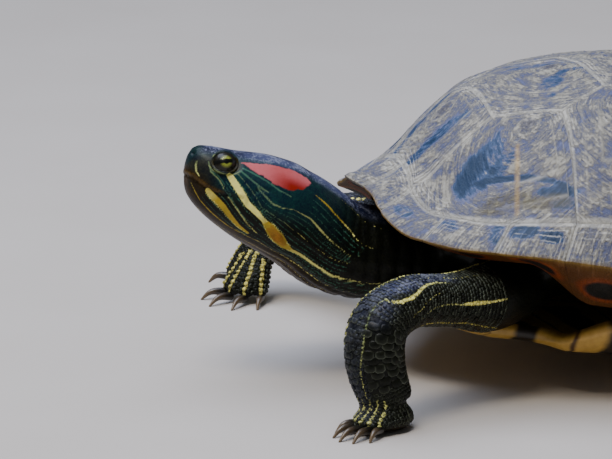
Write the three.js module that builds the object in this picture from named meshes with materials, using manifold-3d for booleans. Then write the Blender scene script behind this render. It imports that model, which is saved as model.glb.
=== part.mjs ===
// Red-eared slider turtle (Trachemys scripta elegans), life size, as a still museum model.
// It props its front up on its forelegs. The plastron's rear, four feet and the tail rest on the floor.
// Millimetres, +Z up. The head points along -Y and the animal's left side along +X.
import * as THREE from "three";
import { mergeVertices } from "three/addons/utils/BufferGeometryUtils.js";
import Module from "manifold-3d";

const wasm = await Module();
wasm.setup();

const { abs, cos, sin, sqrt, sign, min, max, hypot, PI } = Math;
const { degToRad, radToDeg, lerp, clamp, smoothstep } = THREE.MathUtils;

// ---- Driving dimensions ----
const CARAPACE_LENGTH = 220;
const CARAPACE_WIDTH = 170;
const SHELL_HEIGHT = 86; // plastron's underside to the top of the carapace
const SHELL_PITCH = degToRad(8); // nose up
const SHELL_BACK = -6.4; // the shell's middle, along Y
const SHELL_LIFT = 13; // the shell's middle above the floor, at the plastron's underside
const SCUTE_THICKNESS = 3.8;
const SEAM = 0.5; // width of the cut between two scutes
const GAP = 0.35; // between neighbouring solids

const EYE_RADIUS = 4.3;
const HEAD_LENGTH = 56; // snout to the end that is buried in the neck
const HEAD_PITCH = degToRad(18);
const HEAD_ROLL = degToRad(9); // crown away from the left side
const SNOUT = new THREE.Vector3(0, -168.8, 75.6);

// ---- Colours ----
const skin = finish(0x1d2a26, 0.45);
const horn = finish(0x8d8f92, 0.55);
const plate = finish(0xb98a3c, 0.5);
const eyeball = finish(0x7d8a2e, 0.12);
const claw = finish(0x4a4030, 0.4);

function finish(color, roughness) {
  return new THREE.MeshStandardMaterial({ color, roughness, metalness: 0 });
}

// ---- Shape helpers ----
function vec(x, y, z) {
  return new THREE.Vector3(x, y, z);
}

// A smooth function through a few stations [x, value], without overshoot between them.
function through(stations) {
  const last = stations.length - 1;
  const rise = (i) => (stations[i + 1][1] - stations[i][1]) / (stations[i + 1][0] - stations[i][0]);
  const slope = (i) => {
    if (i === 0 || i === last) return rise(i === 0 ? 0 : last - 1);
    const [before, after] = [rise(i - 1), rise(i)];
    return before * after <= 0 ? 0 : (2 * before * after) / (before + after);
  };
  return (x) => {
    const at = clamp(x, stations[0][0], stations[last][0]);
    let i = 0;
    while (i < last - 1 && at > stations[i + 1][0]) i += 1;
    const [x0, y0] = stations[i];
    const [x1, y1] = stations[i + 1];
    const span = x1 - x0;
    const t = (at - x0) / span;
    const bend = t * t * (3 - 2 * t);
    const start = slope(i) * span * (t - 2 * t * t + t * t * t);
    const end = slope(i + 1) * span * (t * t * t - t * t);
    return lerp(y0, y1, bend) + start + end;
  };
}

// A closed surface: a sphere whose points are moved by place(turn, along). turn goes once round, in
// radians, and along goes from one pole, 0, to the other, 1.
function moulded(around, rings, place) {
  const geometry = new THREE.SphereGeometry(1, around, rings);
  const position = geometry.attributes.position;
  for (let i = 0; i < position.count; i += 1) {
    const turn = ((i % (around + 1)) % around) / around;
    const along = Math.floor(i / (around + 1)) / rings;
    const atPole = along === 0 || along === 1;
    const point = place(atPole ? 0 : turn * 2 * PI, along);
    position.setXYZ(i, point.x, point.y, point.z);
  }
  return facingOut(bare(geometry));
}

function facingOut(geometry) {
  const [a, b, c] = [vec(), vec(), vec()];
  const { index } = geometry;
  const { position } = geometry.attributes;
  let volume = 0;
  for (let i = 0; i < index.count; i += 3) {
    a.fromBufferAttribute(position, index.getX(i));
    b.fromBufferAttribute(position, index.getX(i + 1));
    c.fromBufferAttribute(position, index.getX(i + 2));
    volume += a.dot(b.cross(c));
  }
  if (volume < 0) index.array.reverse();
  return geometry;
}

// The same geometry with positions alone, and each shared vertex only once.
function bare(geometry) {
  const plain = geometry.clone();
  plain.deleteAttribute("normal");
  plain.deleteAttribute("uv");
  return mergeVertices(plain, 1e-4);
}

// The same shape, larger all round by the gap that its neighbour leaves.
function withRoom(geometry, gap = GAP) {
  const grown = bare(geometry);
  grown.computeVertexNormals();
  const { position, normal } = grown.attributes;
  for (let i = 0; i < position.count; i += 1) {
    const point = vec().fromBufferAttribute(position, i);
    point.addScaledVector(vec().fromBufferAttribute(normal, i), gap);
    position.setXYZ(i, point.x, point.y, point.z);
  }
  grown.deleteAttribute("normal");
  return grown;
}

function solid(geometry) {
  const merged = bare(geometry);
  const mesh = new wasm.Mesh({
    numProp: 3,
    vertProperties: merged.attributes.position.array,
    triVerts: new Uint32Array(merged.index.array),
  });
  return new wasm.Manifold(mesh);
}

function meshOf(name, body, material) {
  const { vertProperties, triVerts, numProp } = body.getMesh();
  const geometry = new THREE.BufferGeometry();
  geometry.setAttribute("position", new THREE.BufferAttribute(new Float32Array(vertProperties), numProp));
  geometry.setIndex(new THREE.BufferAttribute(new Uint32Array(triVerts), 1));
  const shown = geometry.toNonIndexed();
  shown.computeVertexNormals();
  const mesh = new THREE.Mesh(shown, material);
  mesh.name = name;
  return mesh;
}

// A tapering limb along a smooth path. width and depth are half sizes against the share of its
// length; side is the way its width points; caps are the shares that its rounded ends take.
function limb({ path, width, depth, side, around = 14, rings = 14, startCap = 0.06, endCap = 0.06 }) {
  const curve = new THREE.CatmullRomCurve3(path, false, "centripetal");
  const halfWidth = through(width);
  const halfDepth = through(depth);
  return moulded(around, rings, (turn, along) => {
    const t = (1 - cos(PI * along)) / 2;
    const centre = curve.getPointAt(t);
    const tangent = curve.getTangentAt(t);
    const across = side.clone().addScaledVector(tangent, -side.dot(tangent)).normalize();
    const deep = vec().crossVectors(tangent, across);
    const start = t < startCap ? 1 - t / startCap : 0;
    const end = t > 1 - endCap ? 1 - (1 - t) / endCap : 0;
    const round = sqrt(max(0, 1 - (start + end) ** 2));
    return centre
      .addScaledVector(across, cos(turn) * halfWidth(t) * round)
      .addScaledVector(deep, sin(turn) * halfDepth(t) * round);
  });
}

// A flat polygon, in a plane of its own, raised into a prism. outline holds [x, y] pairs.
function prism(outline, height) {
  const shape = new THREE.Shape(outline.map(([x, y]) => new THREE.Vector2(x, y)));
  return new THREE.ExtrudeGeometry(shape, { depth: height, bevelEnabled: false });
}

// The outline of a thin strip that follows a line of [x, y] points.
function stripOutline(line, thickness) {
  const offset = (i, side) => {
    const [x0, y0] = line[max(i - 1, 0)];
    const [x1, y1] = line[min(i + 1, line.length - 1)];
    const length = hypot(x1 - x0, y1 - y0);
    const reach = (side * thickness) / 2 / length;
    return [line[i][0] - (y1 - y0) * reach, line[i][1] + (x1 - x0) * reach];
  };
  const steps = line.map((_, i) => i);
  return [...steps.map((i) => offset(i, -1)), ...steps.reverse().map((i) => offset(i, 1))];
}

// ---- Shell ----
// The shell has a frame of its own: the plastron's underside is at z 0, and F is forward (-Y).
const WIDEST = 20; // behind the middle
const FRONT_REACH = CARAPACE_LENGTH / 2 + WIDEST;
const REAR_REACH = CARAPACE_LENGTH / 2 - WIDEST;

const rimHeight = through([
  [0, 38], [6, 36.5], [13, 32.3], [24, 28.2], [34, 28.4], [43, 29.8], [56, 31.3], [90, 31], [130, 33],
  [160, 30.5], [180, 27.5],
]);
const frontDome = through([
  [0, 1], [0.3, 0.935], [0.5, 0.82], [0.6, 0.745], [0.68, 0.655], [0.74, 0.53], [0.79, 0.4], [0.85, 0.215],
  [0.91, 0.1], [1, 0],
]);
const sideDome = through([
  [0, 1], [0.3, 0.955], [0.5, 0.875], [0.65, 0.765], [0.78, 0.61], [0.88, 0.42], [0.94, 0.235], [1, 0],
]);
const rearDome = through([
  [0, 1], [0.25, 0.95], [0.42, 0.85], [0.58, 0.68], [0.72, 0.47], [0.84, 0.265], [0.92, 0.13], [1, 0],
]);

// Degrees from the head end, 0 to 180, on either side.
function degreesFromFront(turn) {
  return radToDeg(turn > PI ? 2 * PI - turn : turn);
}

// How far a turn lies within the bridge, where the carapace and the plastron are joined.
function bridge(turn) {
  const degrees = degreesFromFront(turn);
  return smoothstep(degrees, 46, 60) * (1 - smoothstep(degrees, 114, 128));
}

function rimPoint(turn) {
  const [c, s] = [cos(turn), sin(turn)];
  const [reach, squareness] = c > 0 ? [FRONT_REACH, 2.4] : [REAR_REACH, 3];
  const x = (CARAPACE_WIDTH / 2) * sign(s) * abs(s) ** (2 / 2.2);
  const y = WIDEST - sign(c) * reach * abs(c) ** (2 / squareness);
  return vec(x, y, rimHeight(degreesFromFront(turn)));
}

// The carapace's outer surface. share is 0 at the middle and 1 at the rim.
function domePoint(turn, share) {
  const rim = rimPoint(turn);
  const ahead = max(0, cos(turn)) ** 2;
  const behind = max(0, -cos(turn)) ** 2;
  const aside = 1 - ahead - behind;
  const height = ahead * frontDome(share) + behind * rearDome(share) + aside * sideDome(share);
  return vec(rim.x * share, rim.y * share, lerp(rim.z, SHELL_HEIGHT, height));
}

// A point under the rim, inward from it by a plan distance and lower by a drop.
function underRim(turn, inward, drop) {
  const rim = rimPoint(turn);
  const share = 1 - inward / hypot(rim.x, rim.y);
  return vec(rim.x * share, rim.y * share, rim.z - drop);
}

const OUTER_SHARES = [0, 0.25, 0.46, 0.61, 0.72, 0.81, 0.9, 0.985];
const INNER_SHARES = [0.84, 0.5, 0];

function carapace() {
  const lip = [
    (turn) => underRim(turn, 0, 1.6),
    (turn) => underRim(turn, 1.4, 4.4),
    (turn) => underRim(turn, 12 + 4 * bridge(turn), 5 + 13 * bridge(turn)),
    (turn) => underRim(turn, 14 + 4 * bridge(turn), 2.5 + 12 * bridge(turn)),
  ];
  const stations = [
    ...OUTER_SHARES.map((share) => (turn) => domePoint(turn, share)),
    ...lip,
    ...INNER_SHARES.map((share) => (turn) => {
      const inner = domePoint(turn, share * (1 - 0.6 * (SCUTE_THICKNESS / CARAPACE_WIDTH)));
      inner.z -= SCUTE_THICKNESS * (1 + 0.35 * share);
      return inner;
    }),
  ];
  const rings = stations.length - 1;
  return moulded(48, rings, (turn, along) => stations[Math.round(along * rings)](turn));
}

const PLASTRON_HALF = 97; // half its length
const plastronWidth = through([
  [-97, 12], [-94, 24], [-86, 35], [-72, 41], [-56, 43], [-46, 48], [-38, 62], [-20, 65.5],
  [10, 66], [36, 63], [44, 58], [52, 46], [60, 42], [72, 40], [84, 35], [92, 27], [97, 17],
]);

// Where the carapace's marginal plates end underneath, which the bridge reaches up to.
function bridgeRise(side) {
  return smoothstep(abs(side), 50, 73) * 15;
}

function plastron() {
  const geometry = new THREE.BoxGeometry(2, 2, 1, 6, 17, 1);
  const position = geometry.attributes.position;
  for (let i = 0; i < position.count; i += 1) {
    const forward = position.getY(i) * PLASTRON_HALF;
    const side = position.getX(i) * plastronWidth(forward);
    const frontLift = 4 * smoothstep(forward, 66, PLASTRON_HALF);
    const notch = 7 * smoothstep(-forward, 84, PLASTRON_HALF) * max(0, 1 - abs(side) / 12);
    const under = frontLift + bridgeRise(side);
    const isTop = position.getZ(i) > 0;
    position.setXYZ(i, side, notch - forward, under + (isTop ? 5.5 : 0));
  }
  return facingOut(bare(geometry));
}

// The body inside the shell, which shows at the openings.
function trunk() {
  const under = (turn, share) => {
    const roof = domePoint(turn, share);
    return vec(roof.x, roof.y, roof.z - 9);
  };
  const wall = (turn, inward, z) => {
    const rim = rimPoint(turn);
    const share = 1 - inward / hypot(rim.x, rim.y);
    return vec(rim.x * share, rim.y * share, z);
  };
  const stations = [
    ...[0, 0.35, 0.6, 0.74].map((share) => (turn) => under(turn, share)),
    (turn) => wall(turn, 23, 35 + 4 * bridge(turn)),
    (turn) => wall(turn, 25, 18 + 8 * bridge(turn)),
    (turn) => vec(rimPoint(turn).x * 0.5, rimPoint(turn).y * 0.7, 10.5),
    () => vec(0, 0, 9),
  ];
  return moulded(24, 7, (turn, along) => stations[Math.round(along * 7)](turn));
}

// ---- Seams between the carapace's scutes, as lines of [x, forward] in plan ----
const VERTEBRAL_SEAMS = [
  { forward: 72, half: 20 },
  { forward: 35, half: 22 },
  { forward: -5, half: 23 },
  { forward: -46, half: 18 },
];
const COSTAL_SEAMS = [
  { top: [32, 52.5], low: [75, 57] }, { top: [31, 15], low: [84, 8] }, { top: [28, -26], low: [84, -42] },
];
const MARGINAL_DEPTH = through([
  [0, 15], [8, 13.5], [14, 11], [21, 9.5], [30, 8.7], [42, 7.3], [60, 6.8], [110, 6.5], [140, 13],
  [180, 15],
]);

// All that lies within the marginal scutes. Its wall goes straight down to the carapace's surface, and
// then slants inwards over the marginals' lip.
function withinMarginals(grow) {
  const inwards = (turn, inward, z) => {
    const rim = rimPoint(turn);
    const share = 1 - (inward - grow) / hypot(rim.x, rim.y);
    return vec(rim.x * share, rim.y * share, z);
  };
  const depth = (turn) => MARGINAL_DEPTH(degreesFromFront(turn));
  const lip = (turn) => max(15.8 + 4 * bridge(turn), depth(turn) + 2);
  const surface = (turn) => {
    const rim = rimPoint(turn);
    return domePoint(turn, 1 - depth(turn) / hypot(rim.x, rim.y)).z;
  };
  const stations = [
    () => vec(0, 0, 130),
    (turn) => inwards(turn, depth(turn), 130),
    (turn) => inwards(turn, depth(turn), surface(turn) + 0.5),
    (turn) => inwards(turn, lip(turn), rimPoint(turn).z - 1),
    (turn) => inwards(turn, lip(turn), -20),
    () => vec(0, 0, -20),
  ];
  return solid(moulded(48, 5, (turn, along) => stations[Math.round(along * 5)](turn)));
}

function seamWall(line) {
  const flat = line.map(([x, forward]) => [x, -forward]);
  return solid(prism(stripOutline(flat, SEAM), SHELL_HEIGHT + 10));
}

// The seams between the vertebral and costal scutes.
function domeSeams() {
  const walls = VERTEBRAL_SEAMS.map(({ forward, half }) => seamWall([[-half, forward], [half, forward]]));
  for (const side of [-1, 1]) {
    const [first, second, third] = COSTAL_SEAMS.map(({ top }) => top);
    const corners = [
      [14, 108], [19, 92], [20, 72], first, [22, 35], second, [23, -5], third, [18, -46], [34, -76],
      [44, -96],
    ];
    walls.push(seamWall(corners.map(([x, forward]) => [side * x, forward])));
    for (const { top, low } of COSTAL_SEAMS) {
      walls.push(seamWall([top, low].map(([x, forward]) => [side * x, forward])));
    }
  }
  return walls;
}

function rimSeams() {
  const nuchal = [-1, 1].map((side) => seamWall([[side * 6, 88], [side * 5, 120]]));
  return [...nuchal, seamWall([[0, -80], [0, -120]])];
}

// Reference points in plan, [x, forward], by which the parted scutes get their names.
const DOME_SCUTES = [
  ...[88, 55, 15, -25, -70].map((forward, i) => [`vertebral_scute_${i + 1}`, 0, forward]),
  ...[["left", 1], ["right", -1]].flatMap(([side, x]) => (
    [[45, 72], [54, 35], [55, -10], [50, -55]].map(([out, forward], i) => (
      [`costal_scute_${side}_${i + 1}`, x * out, forward]))
  )),
];
const RIM_SCUTES = [
  ["nuchal_scute", 0, 104],
  ["marginal_scutes_left", 60, 0],
  ["marginal_scutes_right", -60, 0],
];

// The pieces of a body, each named by the reference point it lies nearest to.
function named(body, references) {
  const pieces = body.decompose();
  return references.map(([name, x, forward]) => {
    const distance = (piece) => {
      const { min: low, max: high } = piece.boundingBox();
      return hypot((low[0] + high[0]) / 2 - x, -(low[1] + high[1]) / 2 - forward);
    };
    return { name, body: pieces.reduce((best, one) => (distance(one) < distance(best) ? one : best)) };
  });
}

function scutes() {
  const shell = solid(carapace());
  const dome = cutBy(shell.intersect(withinMarginals(-SEAM / 2)), domeSeams());
  const rim = cutBy(shell, [withinMarginals(SEAM / 2), ...rimSeams()]);
  return [...named(dome, DOME_SCUTES), ...named(rim, RIM_SCUTES)];
}

// ---- Head ----
// Head frame: u runs back from the snout, v out to the left and w up, with the snout at 0, 0, 0.
const crown = through([
  [0, 1.5], [0.4, 4.4], [1.2, 6.4], [2.6, 7.5], [5.5, 8.1], [9.5, 8.5], [14, 8.7], [20, 9.4], [28, 10.2],
  [36, 9.9], [43, 8], [50, 4.4], [56, -6],
]);
const throat = through([
  [0, 1.5], [0.4, -1.8], [1.2, -6], [2.4, -8.6], [4.5, -10.8], [7.5, -13], [11.4, -15.2], [17.6, -17.9],
  [23.7, -20.1], [30, -21.8], [36.5, -23.3], [43, -24.4], [50, -24], [56, -10],
]);
const cheek = through([
  [0, 0], [0.4, 2.7], [1.2, 4.5], [3, 6.3], [6, 8.3], [9.5, 10], [14, 11.7], [20, 13.6], [27, 15.6],
  [33, 16.4], [40, 16.2], [48, 15.4], [53, 12], [56, 0],
]);
const cheekLevel = through([[0, 1.5], [3, -1.2], [10, -3], [20, -5], [30, -6.5], [43, -8], [56, -8]]);

const headTurn = new THREE.Matrix4()
  .makeRotationX(-HEAD_PITCH)
  .multiply(new THREE.Matrix4().makeRotationY(-HEAD_ROLL));
const headPlace = new THREE.Matrix4().makeTranslation(SNOUT).multiply(headTurn);

function headPoint(u, v, w) {
  return vec(v, u, w).applyMatrix4(headPlace);
}

function head() {
  return moulded(20, 17, (turn, along) => {
    const u = (HEAD_LENGTH * (1 - cos(PI * along))) / 2;
    const [c, s] = [cos(turn), sin(turn)];
    const level = cheekLevel(u);
    const reach = s > 0 ? crown(u) - level : level - throat(u);
    const squareness = s > 0 ? 0.84 : 0.96;
    const v = sign(c) * cheek(u) * abs(c) ** squareness;
    const w = level + sign(s) * reach * abs(s) ** squareness;
    return headPoint(u, v, w);
  });
}

const EYE_CENTRE = [10.6, 6.85, 3.2];

function eye(side) {
  const ball = new THREE.SphereGeometry(EYE_RADIUS, 14, 8);
  const centre = headPoint(EYE_CENTRE[0], side * EYE_CENTRE[1], EYE_CENTRE[2]);
  return ball.translate(centre.x, centre.y, centre.z);
}

// The mouth, and the way from its corner down to the throat, as a line of [u, w].
const MOUTH_LINE = [[-4, -2.6], [4, -3.2], [9, -4.3], [14, -4.6], [19, -11], [25, -27]];

function mouthCut() {
  const across = 50;
  const cut = prism(stripOutline(MOUTH_LINE, GAP), across).translate(0, 0, -across / 2);
  const upright = new THREE.Matrix4().makeBasis(vec(0, 1, 0), vec(0, 0, 1), vec(1, 0, 0));
  return cut.applyMatrix4(upright).applyMatrix4(headPlace);
}

// A block that takes the head frame from u back, or from u forward.
function headBlock(from, to) {
  const block = new THREE.BoxGeometry(80, to - from, 90).translate(0, (from + to) / 2, 0);
  return block.applyMatrix4(headPlace);
}

const NECK_START = 41;

function neck() {
  return limb({
    path: [
      headPoint(30, 0, -6.5), headPoint(42, 0, -8.2),
      vec(0, -117, 44), vec(0, -100, 39.5), vec(0, -76, 38),
    ],
    width: [[0, 14.5], [0.12, 16.2], [0.3, 16.2], [0.6, 16.2], [0.85, 17.5], [1, 18]],
    depth: [[0, 15], [0.12, 16.3], [0.3, 16.5], [0.6, 15.9], [0.85, 16], [1, 16]],
    side: vec(1, 0, 0),
    around: 20,
    rings: 8,
    startCap: 0.1,
  });
}

// ---- Limbs and tail ----
// Each leg is posed by hand: the left foreleg stands, the right one reaches out with its palm raised
// and its toes spread, and the hind legs are folded at the sides. heading is degrees outwards from
// forward, spread scales the fan of the toes, reach their lengths in plan, rise lifts the palm and
// outerLift the outer toe off the floor.
const LEGS = {
  foreleg_left: {
    side: 1,
    path: [
      [28, -56, 38], [46, -80, 35], [54, -98, 37.5], [60.5, -113, 39.5], [65, -123.6, 34], [66.5, -125, 22],
      [68, -120.5, 7],
    ],
    width: [[0, 13], [0.25, 13], [0.45, 9.6], [0.62, 9.6], [0.8, 9.9], [1, 8.6]],
    depth: [[0, 12], [0.25, 12], [0.45, 8.6], [0.62, 8.4], [0.8, 7.4], [1, 6]],
    across: [0.45, 0.9, 0],
    foot: "fore", wrist: [65.5, -118, 7], heading: 27, spread: 0.5, reach: 0.56, rise: 0, outerLift: 0,
    rings: 14,
  },
  foreleg_right: {
    side: -1,
    path: [
      [-28, -56, 38], [-45, -73, 36], [-61, -84, 35], [-74, -91, 32], [-86, -97, 27], [-95, -104, 20],
    ],
    width: [[0, 13], [0.3, 13], [0.5, 10], [0.7, 10.2], [0.85, 9.8], [1, 8.8]],
    depth: [[0, 12], [0.3, 12], [0.5, 9], [0.7, 8.4], [0.85, 7], [1, 6]],
    across: [0.8, -0.55, 0],
    foot: "fore", wrist: [-98, -107, 7], heading: -20, spread: 1.15, reach: 0.74, rise: 14, outerLift: 4,
    rings: 11,
  },
  hindleg_left: {
    side: 1,
    path: [[26, 52, 26], [50, 53, 22], [70, 49, 19], [84, 49, 17], [90, 58, 14], [92, 68, 8]],
    width: [[0, 15], [0.35, 15], [0.6, 12], [0.78, 10.6], [1, 9.5]],
    depth: [[0, 13], [0.35, 12], [0.6, 10.5], [0.78, 9], [1, 6.6]],
    across: [0.3, 0.2, 1],
    foot: "hind", wrist: [92.5, 69, 7], heading: 66, spread: 1, reach: 1, rise: 0, outerLift: 0, rings: 10,
  },
  hindleg_right: {
    side: -1,
    path: [[-26, 52, 26], [-50, 55, 22], [-69, 54, 19], [-82, 56, 17], [-88, 66, 14], [-90, 76, 8]],
    width: [[0, 15], [0.35, 15], [0.6, 12], [0.78, 10.6], [1, 9.5]],
    depth: [[0, 13], [0.35, 12], [0.6, 10.5], [0.78, 9], [1, 6.6]],
    across: [-0.3, 0.2, 1],
    foot: "hind", wrist: [-90.5, 77, 7], heading: 74, spread: 1, reach: 1, rise: 0, outerLift: 0, rings: 10,
  },
};

// Toes from the inner to the outer one: degrees outwards, and lengths of toe and claw.
const FEET = {
  fore: {
    palm: { length: 9.4, half: 8.8, height: 6.4 },
    toeBase: 7.2,
    toeRadius: 2.8,
    toes: [
      { fan: -36, toe: 12.5, claw: 7.5 }, { fan: -18, toe: 16, claw: 9 }, { fan: 0, toe: 17.5, claw: 9.5 },
      { fan: 18, toe: 16, claw: 9 }, { fan: 36, toe: 12.5, claw: 7.5 },
    ],
  },
  hind: {
    palm: { length: 15, half: 13, height: 7.5 },
    toeBase: 12,
    toeRadius: 3.2,
    toes: [
      { fan: -34, toe: 11, claw: 6.5 }, { fan: -15, toe: 14, claw: 7 }, { fan: 3, toe: 15.5, claw: 7 },
      { fan: 21, toe: 14.5, claw: 6 }, { fan: 42, toe: 11, claw: 0 },
    ],
  },
};

// The way along the floor that lies so many degrees outwards from straight ahead.
function floorWay(side, degrees) {
  const turn = degToRad(degrees);
  return vec(side * sin(turn), -cos(turn), 0);
}

// A foot's toes, each with its way along the floor, its start and its tip.
function toesOf(leg) {
  const { toeBase, toes } = FEET[leg.foot];
  return toes.map((toe, i) => {
    const lift = i === toes.length - 1 ? leg.outerLift : 0;
    const way = floorWay(leg.side, leg.heading + toe.fan * leg.spread);
    const baseWay = floorWay(leg.side, leg.heading + toe.fan * 0.8);
    const start = vec(...leg.wrist).addScaledVector(baseWay, toeBase);
    start.z = 4.4 + leg.rise * 0.8 + lift;
    const tip = start.clone().addScaledVector(way, toe.toe * leg.reach);
    tip.z = 2 + lift;
    return { ...toe, way, start, tip };
  });
}

function toeShape({ start, tip, way }, radius) {
  const back = start.clone().addScaledVector(way, -6);
  const knuckle = start.clone().lerp(tip, 0.5).add(vec(0, 0, 0.9));
  return limb({
    path: [back, start, knuckle, tip],
    width: [[0, radius * 0.9], [0.4, radius], [0.7, radius * 0.95], [1, radius * 0.78]],
    depth: [[0, radius * 1.1], [0.4, radius], [0.7, radius * 0.92], [1, radius * 0.72]],
    side: vec(-way.y, way.x, 0),
    around: 6,
    rings: 4,
    endCap: 0.12,
  });
}

function clawShape({ tip, way, claw: length }) {
  const root = tip.clone().addScaledVector(way, -1.6).add(vec(0, 0, 0.3));
  const bend = tip.clone().addScaledVector(way, length * 0.5).add(vec(0, 0, 0.6));
  const point = tip.clone().addScaledVector(way, length * 0.92).add(vec(0, 0, -2));
  return limb({
    path: [root, bend, point],
    width: [[0, 1.35], [0.4, 1.15], [0.8, 0.6], [1, 0.3]],
    depth: [[0, 1.5], [0.4, 1.25], [0.8, 0.65], [1, 0.3]],
    side: vec(-way.y, way.x, 0),
    around: 5,
    rings: 4,
    startCap: 0.04,
    endCap: 0.04,
  });
}

// The web: a thin fan from the palm to partway along the toes, which slopes as they do.
function web(toes, { wrist, side, heading, rise }) {
  const heel = vec(...wrist).addScaledVector(floorWay(side, heading), 1).setZ(2.6 + rise);
  const edge = toes.map(({ start, tip }) => start.clone().lerp(tip, 0.72));
  return wasm.Manifold.hull([heel, ...edge].flatMap(({ x, y, z }) => [[x, y, z - 2], [x, y, z - 0.4]]));
}

function palmShape(leg) {
  const { length, half, height } = FEET[leg.foot].palm;
  const ahead = floorWay(leg.side, leg.heading);
  const aside = vec(-ahead.y, ahead.x, 0);
  const centre = vec(...leg.wrist).addScaledVector(ahead, length * 0.42);
  return moulded(12, 7, (turn, along) => {
    const [ring, rise] = [sin(PI * along), cos(PI * along)];
    const point = centre.clone();
    point.addScaledVector(ahead, ring * cos(turn) * length);
    point.addScaledVector(aside, ring * sin(turn) * half);
    point.z = 3.6 + leg.rise * (1 - 0.5 * ring * cos(turn)) + rise * (rise > 0 ? height : 4.4);
    return point;
  });
}

function floorBlock() {
  return solid(new THREE.BoxGeometry(500, 500, 60).translate(0, 0, -30));
}

function join(bodies) {
  return bodies.reduce((sum, body) => sum.add(body));
}

function cutBy(body, cutters) {
  return cutters.reduce((rest, cutter) => rest.subtract(cutter), body);
}

// The largest of a body's separate pieces.
function mainPiece(body) {
  return body.decompose().reduce((best, one) => (one.volume() > best.volume() ? one : best));
}

function tail() {
  return limb({
    path: [
      vec(0, 72, 19), vec(0, 92, 14.5), vec(3, 107, 9.5),
      vec(9, 121, 5.4), vec(17, 133, 2.9), vec(25, 141, 1.5),
    ],
    width: [[0, 11], [0.3, 9.5], [0.5, 6.6], [0.75, 4], [1, 1.7]],
    depth: [[0, 10], [0.3, 8.4], [0.5, 6], [0.75, 3.7], [1, 1.7]],
    side: vec(1, 0, 0),
    around: 10,
    rings: 12,
  });
}

// ---- Assembly ----
const turtle = new THREE.Group();
turtle.name = "red_eared_slider";
const shell = new THREE.Group();
shell.rotation.x = -SHELL_PITCH;
shell.position.set(0, SHELL_BACK, SHELL_LIFT);
turtle.add(shell);

const shellPlace = new THREE.Matrix4()
  .makeTranslation(shell.position)
  .multiply(new THREE.Matrix4().makeRotationX(-SHELL_PITCH));
const floor = floorBlock();

// What the flesh must keep clear of, where it comes out of the shell.
const shellRoom = [carapace(), plastron()].flatMap((shape) => [shape, withRoom(shape)])
  .map((shape) => solid(shape.applyMatrix4(shellPlace)));

for (const { name, body } of scutes()) {
  shell.add(meshOf(name, body, horn));
}
const plastronSolid = solid(plastron().applyMatrix4(shellPlace));
const carapaceRoom = solid(withRoom(carapace()).applyMatrix4(shellPlace));
turtle.add(meshOf("plastron", mainPiece(cutBy(plastronSolid, [carapaceRoom, floor])), plate));

const trunkShape = trunk().applyMatrix4(shellPlace);
const trunkRoom = solid(withRoom(trunkShape));
turtle.add(meshOf("trunk", mainPiece(cutBy(solid(trunkShape), shellRoom)), skin));

const eyes = [["left", eye(1)], ["right", eye(-1)]];
for (const [side, ball] of eyes) {
  turtle.add(meshOf(`eye_${side}`, solid(ball), eyeball));
}

const eyeRooms = eyes.map(([, ball]) => solid(withRoom(ball)));
const behindHead = solid(headBlock(NECK_START, NECK_START + 120));
const aheadOfNeck = solid(headBlock(-20, NECK_START + GAP));
const wholeHead = cutBy(solid(head()), [behindHead, ...eyeRooms, solid(mouthCut())]);
const [upper, lower] = wholeHead.decompose().sort((a, b) => b.volume() - a.volume());
turtle.add(meshOf("head", upper, skin));
turtle.add(meshOf("lower_jaw", lower, skin));
turtle.add(meshOf("neck", mainPiece(cutBy(solid(neck()), [aheadOfNeck, trunkRoom, ...shellRoom])), skin));

for (const [name, leg] of Object.entries(LEGS)) {
  const footName = name.replace("leg", "foot");
  const toes = toesOf(leg);
  const claws = toes.filter((toe) => toe.claw > 0).map(clawShape);
  claws.forEach((shape, i) => {
    turtle.add(meshOf(`${footName}_claw_${i + 1}`, cutBy(solid(shape), [floor]), claw));
  });

  const { toeRadius } = FEET[leg.foot];
  const toeShapes = toes.map((toe) => toeShape(toe, toeRadius));
  const foot = join([solid(palmShape(leg)), ...toeShapes.map(solid), web(toes, leg)]);
  const clawRooms = claws.map((shape) => solid(withRoom(shape)));
  turtle.add(meshOf(footName, mainPiece(cutBy(foot, [...clawRooms, floor])), skin));

  const legShape = limb({
    ...leg,
    path: leg.path.map((point) => vec(...point)),
    side: vec(...leg.across),
    around: 11,
    endCap: 0.03,
  });
  const footRooms = [palmShape(leg), ...toeShapes].map((shape) => solid(withRoom(shape)));
  const room = [trunkRoom, ...shellRoom, ...footRooms];
  turtle.add(meshOf(name, mainPiece(cutBy(solid(legShape), room)), skin));
}

turtle.add(meshOf("tail", mainPiece(cutBy(solid(tail()), [trunkRoom, ...shellRoom, floor])), skin));

// The origin is on the floor, below the middle of the whole animal.
const bounds = new THREE.Box3().setFromObject(turtle);
const middle = bounds.getCenter(vec());
turtle.position.set(-middle.x, -middle.y, -bounds.min.z);

export default turtle;
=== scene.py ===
"""A red-eared slider turtle, life size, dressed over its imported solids.

One skin stands for the flesh, with small solid scales over the legs, feet and tail. The scutes, the
plastron, the eyes and the claws are pieces of their own. Shapes are worked out in millimetres, in the
frame that the solids were drawn in (Z up, the head along -Y, the animal's left along +X), and a mesh
takes its place in metres when it is made.
"""
from math import cos, hypot, pi, radians, sin

import bpy
import numpy as np
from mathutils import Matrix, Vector
from mathutils.bvhtree import BVHTree


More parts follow.
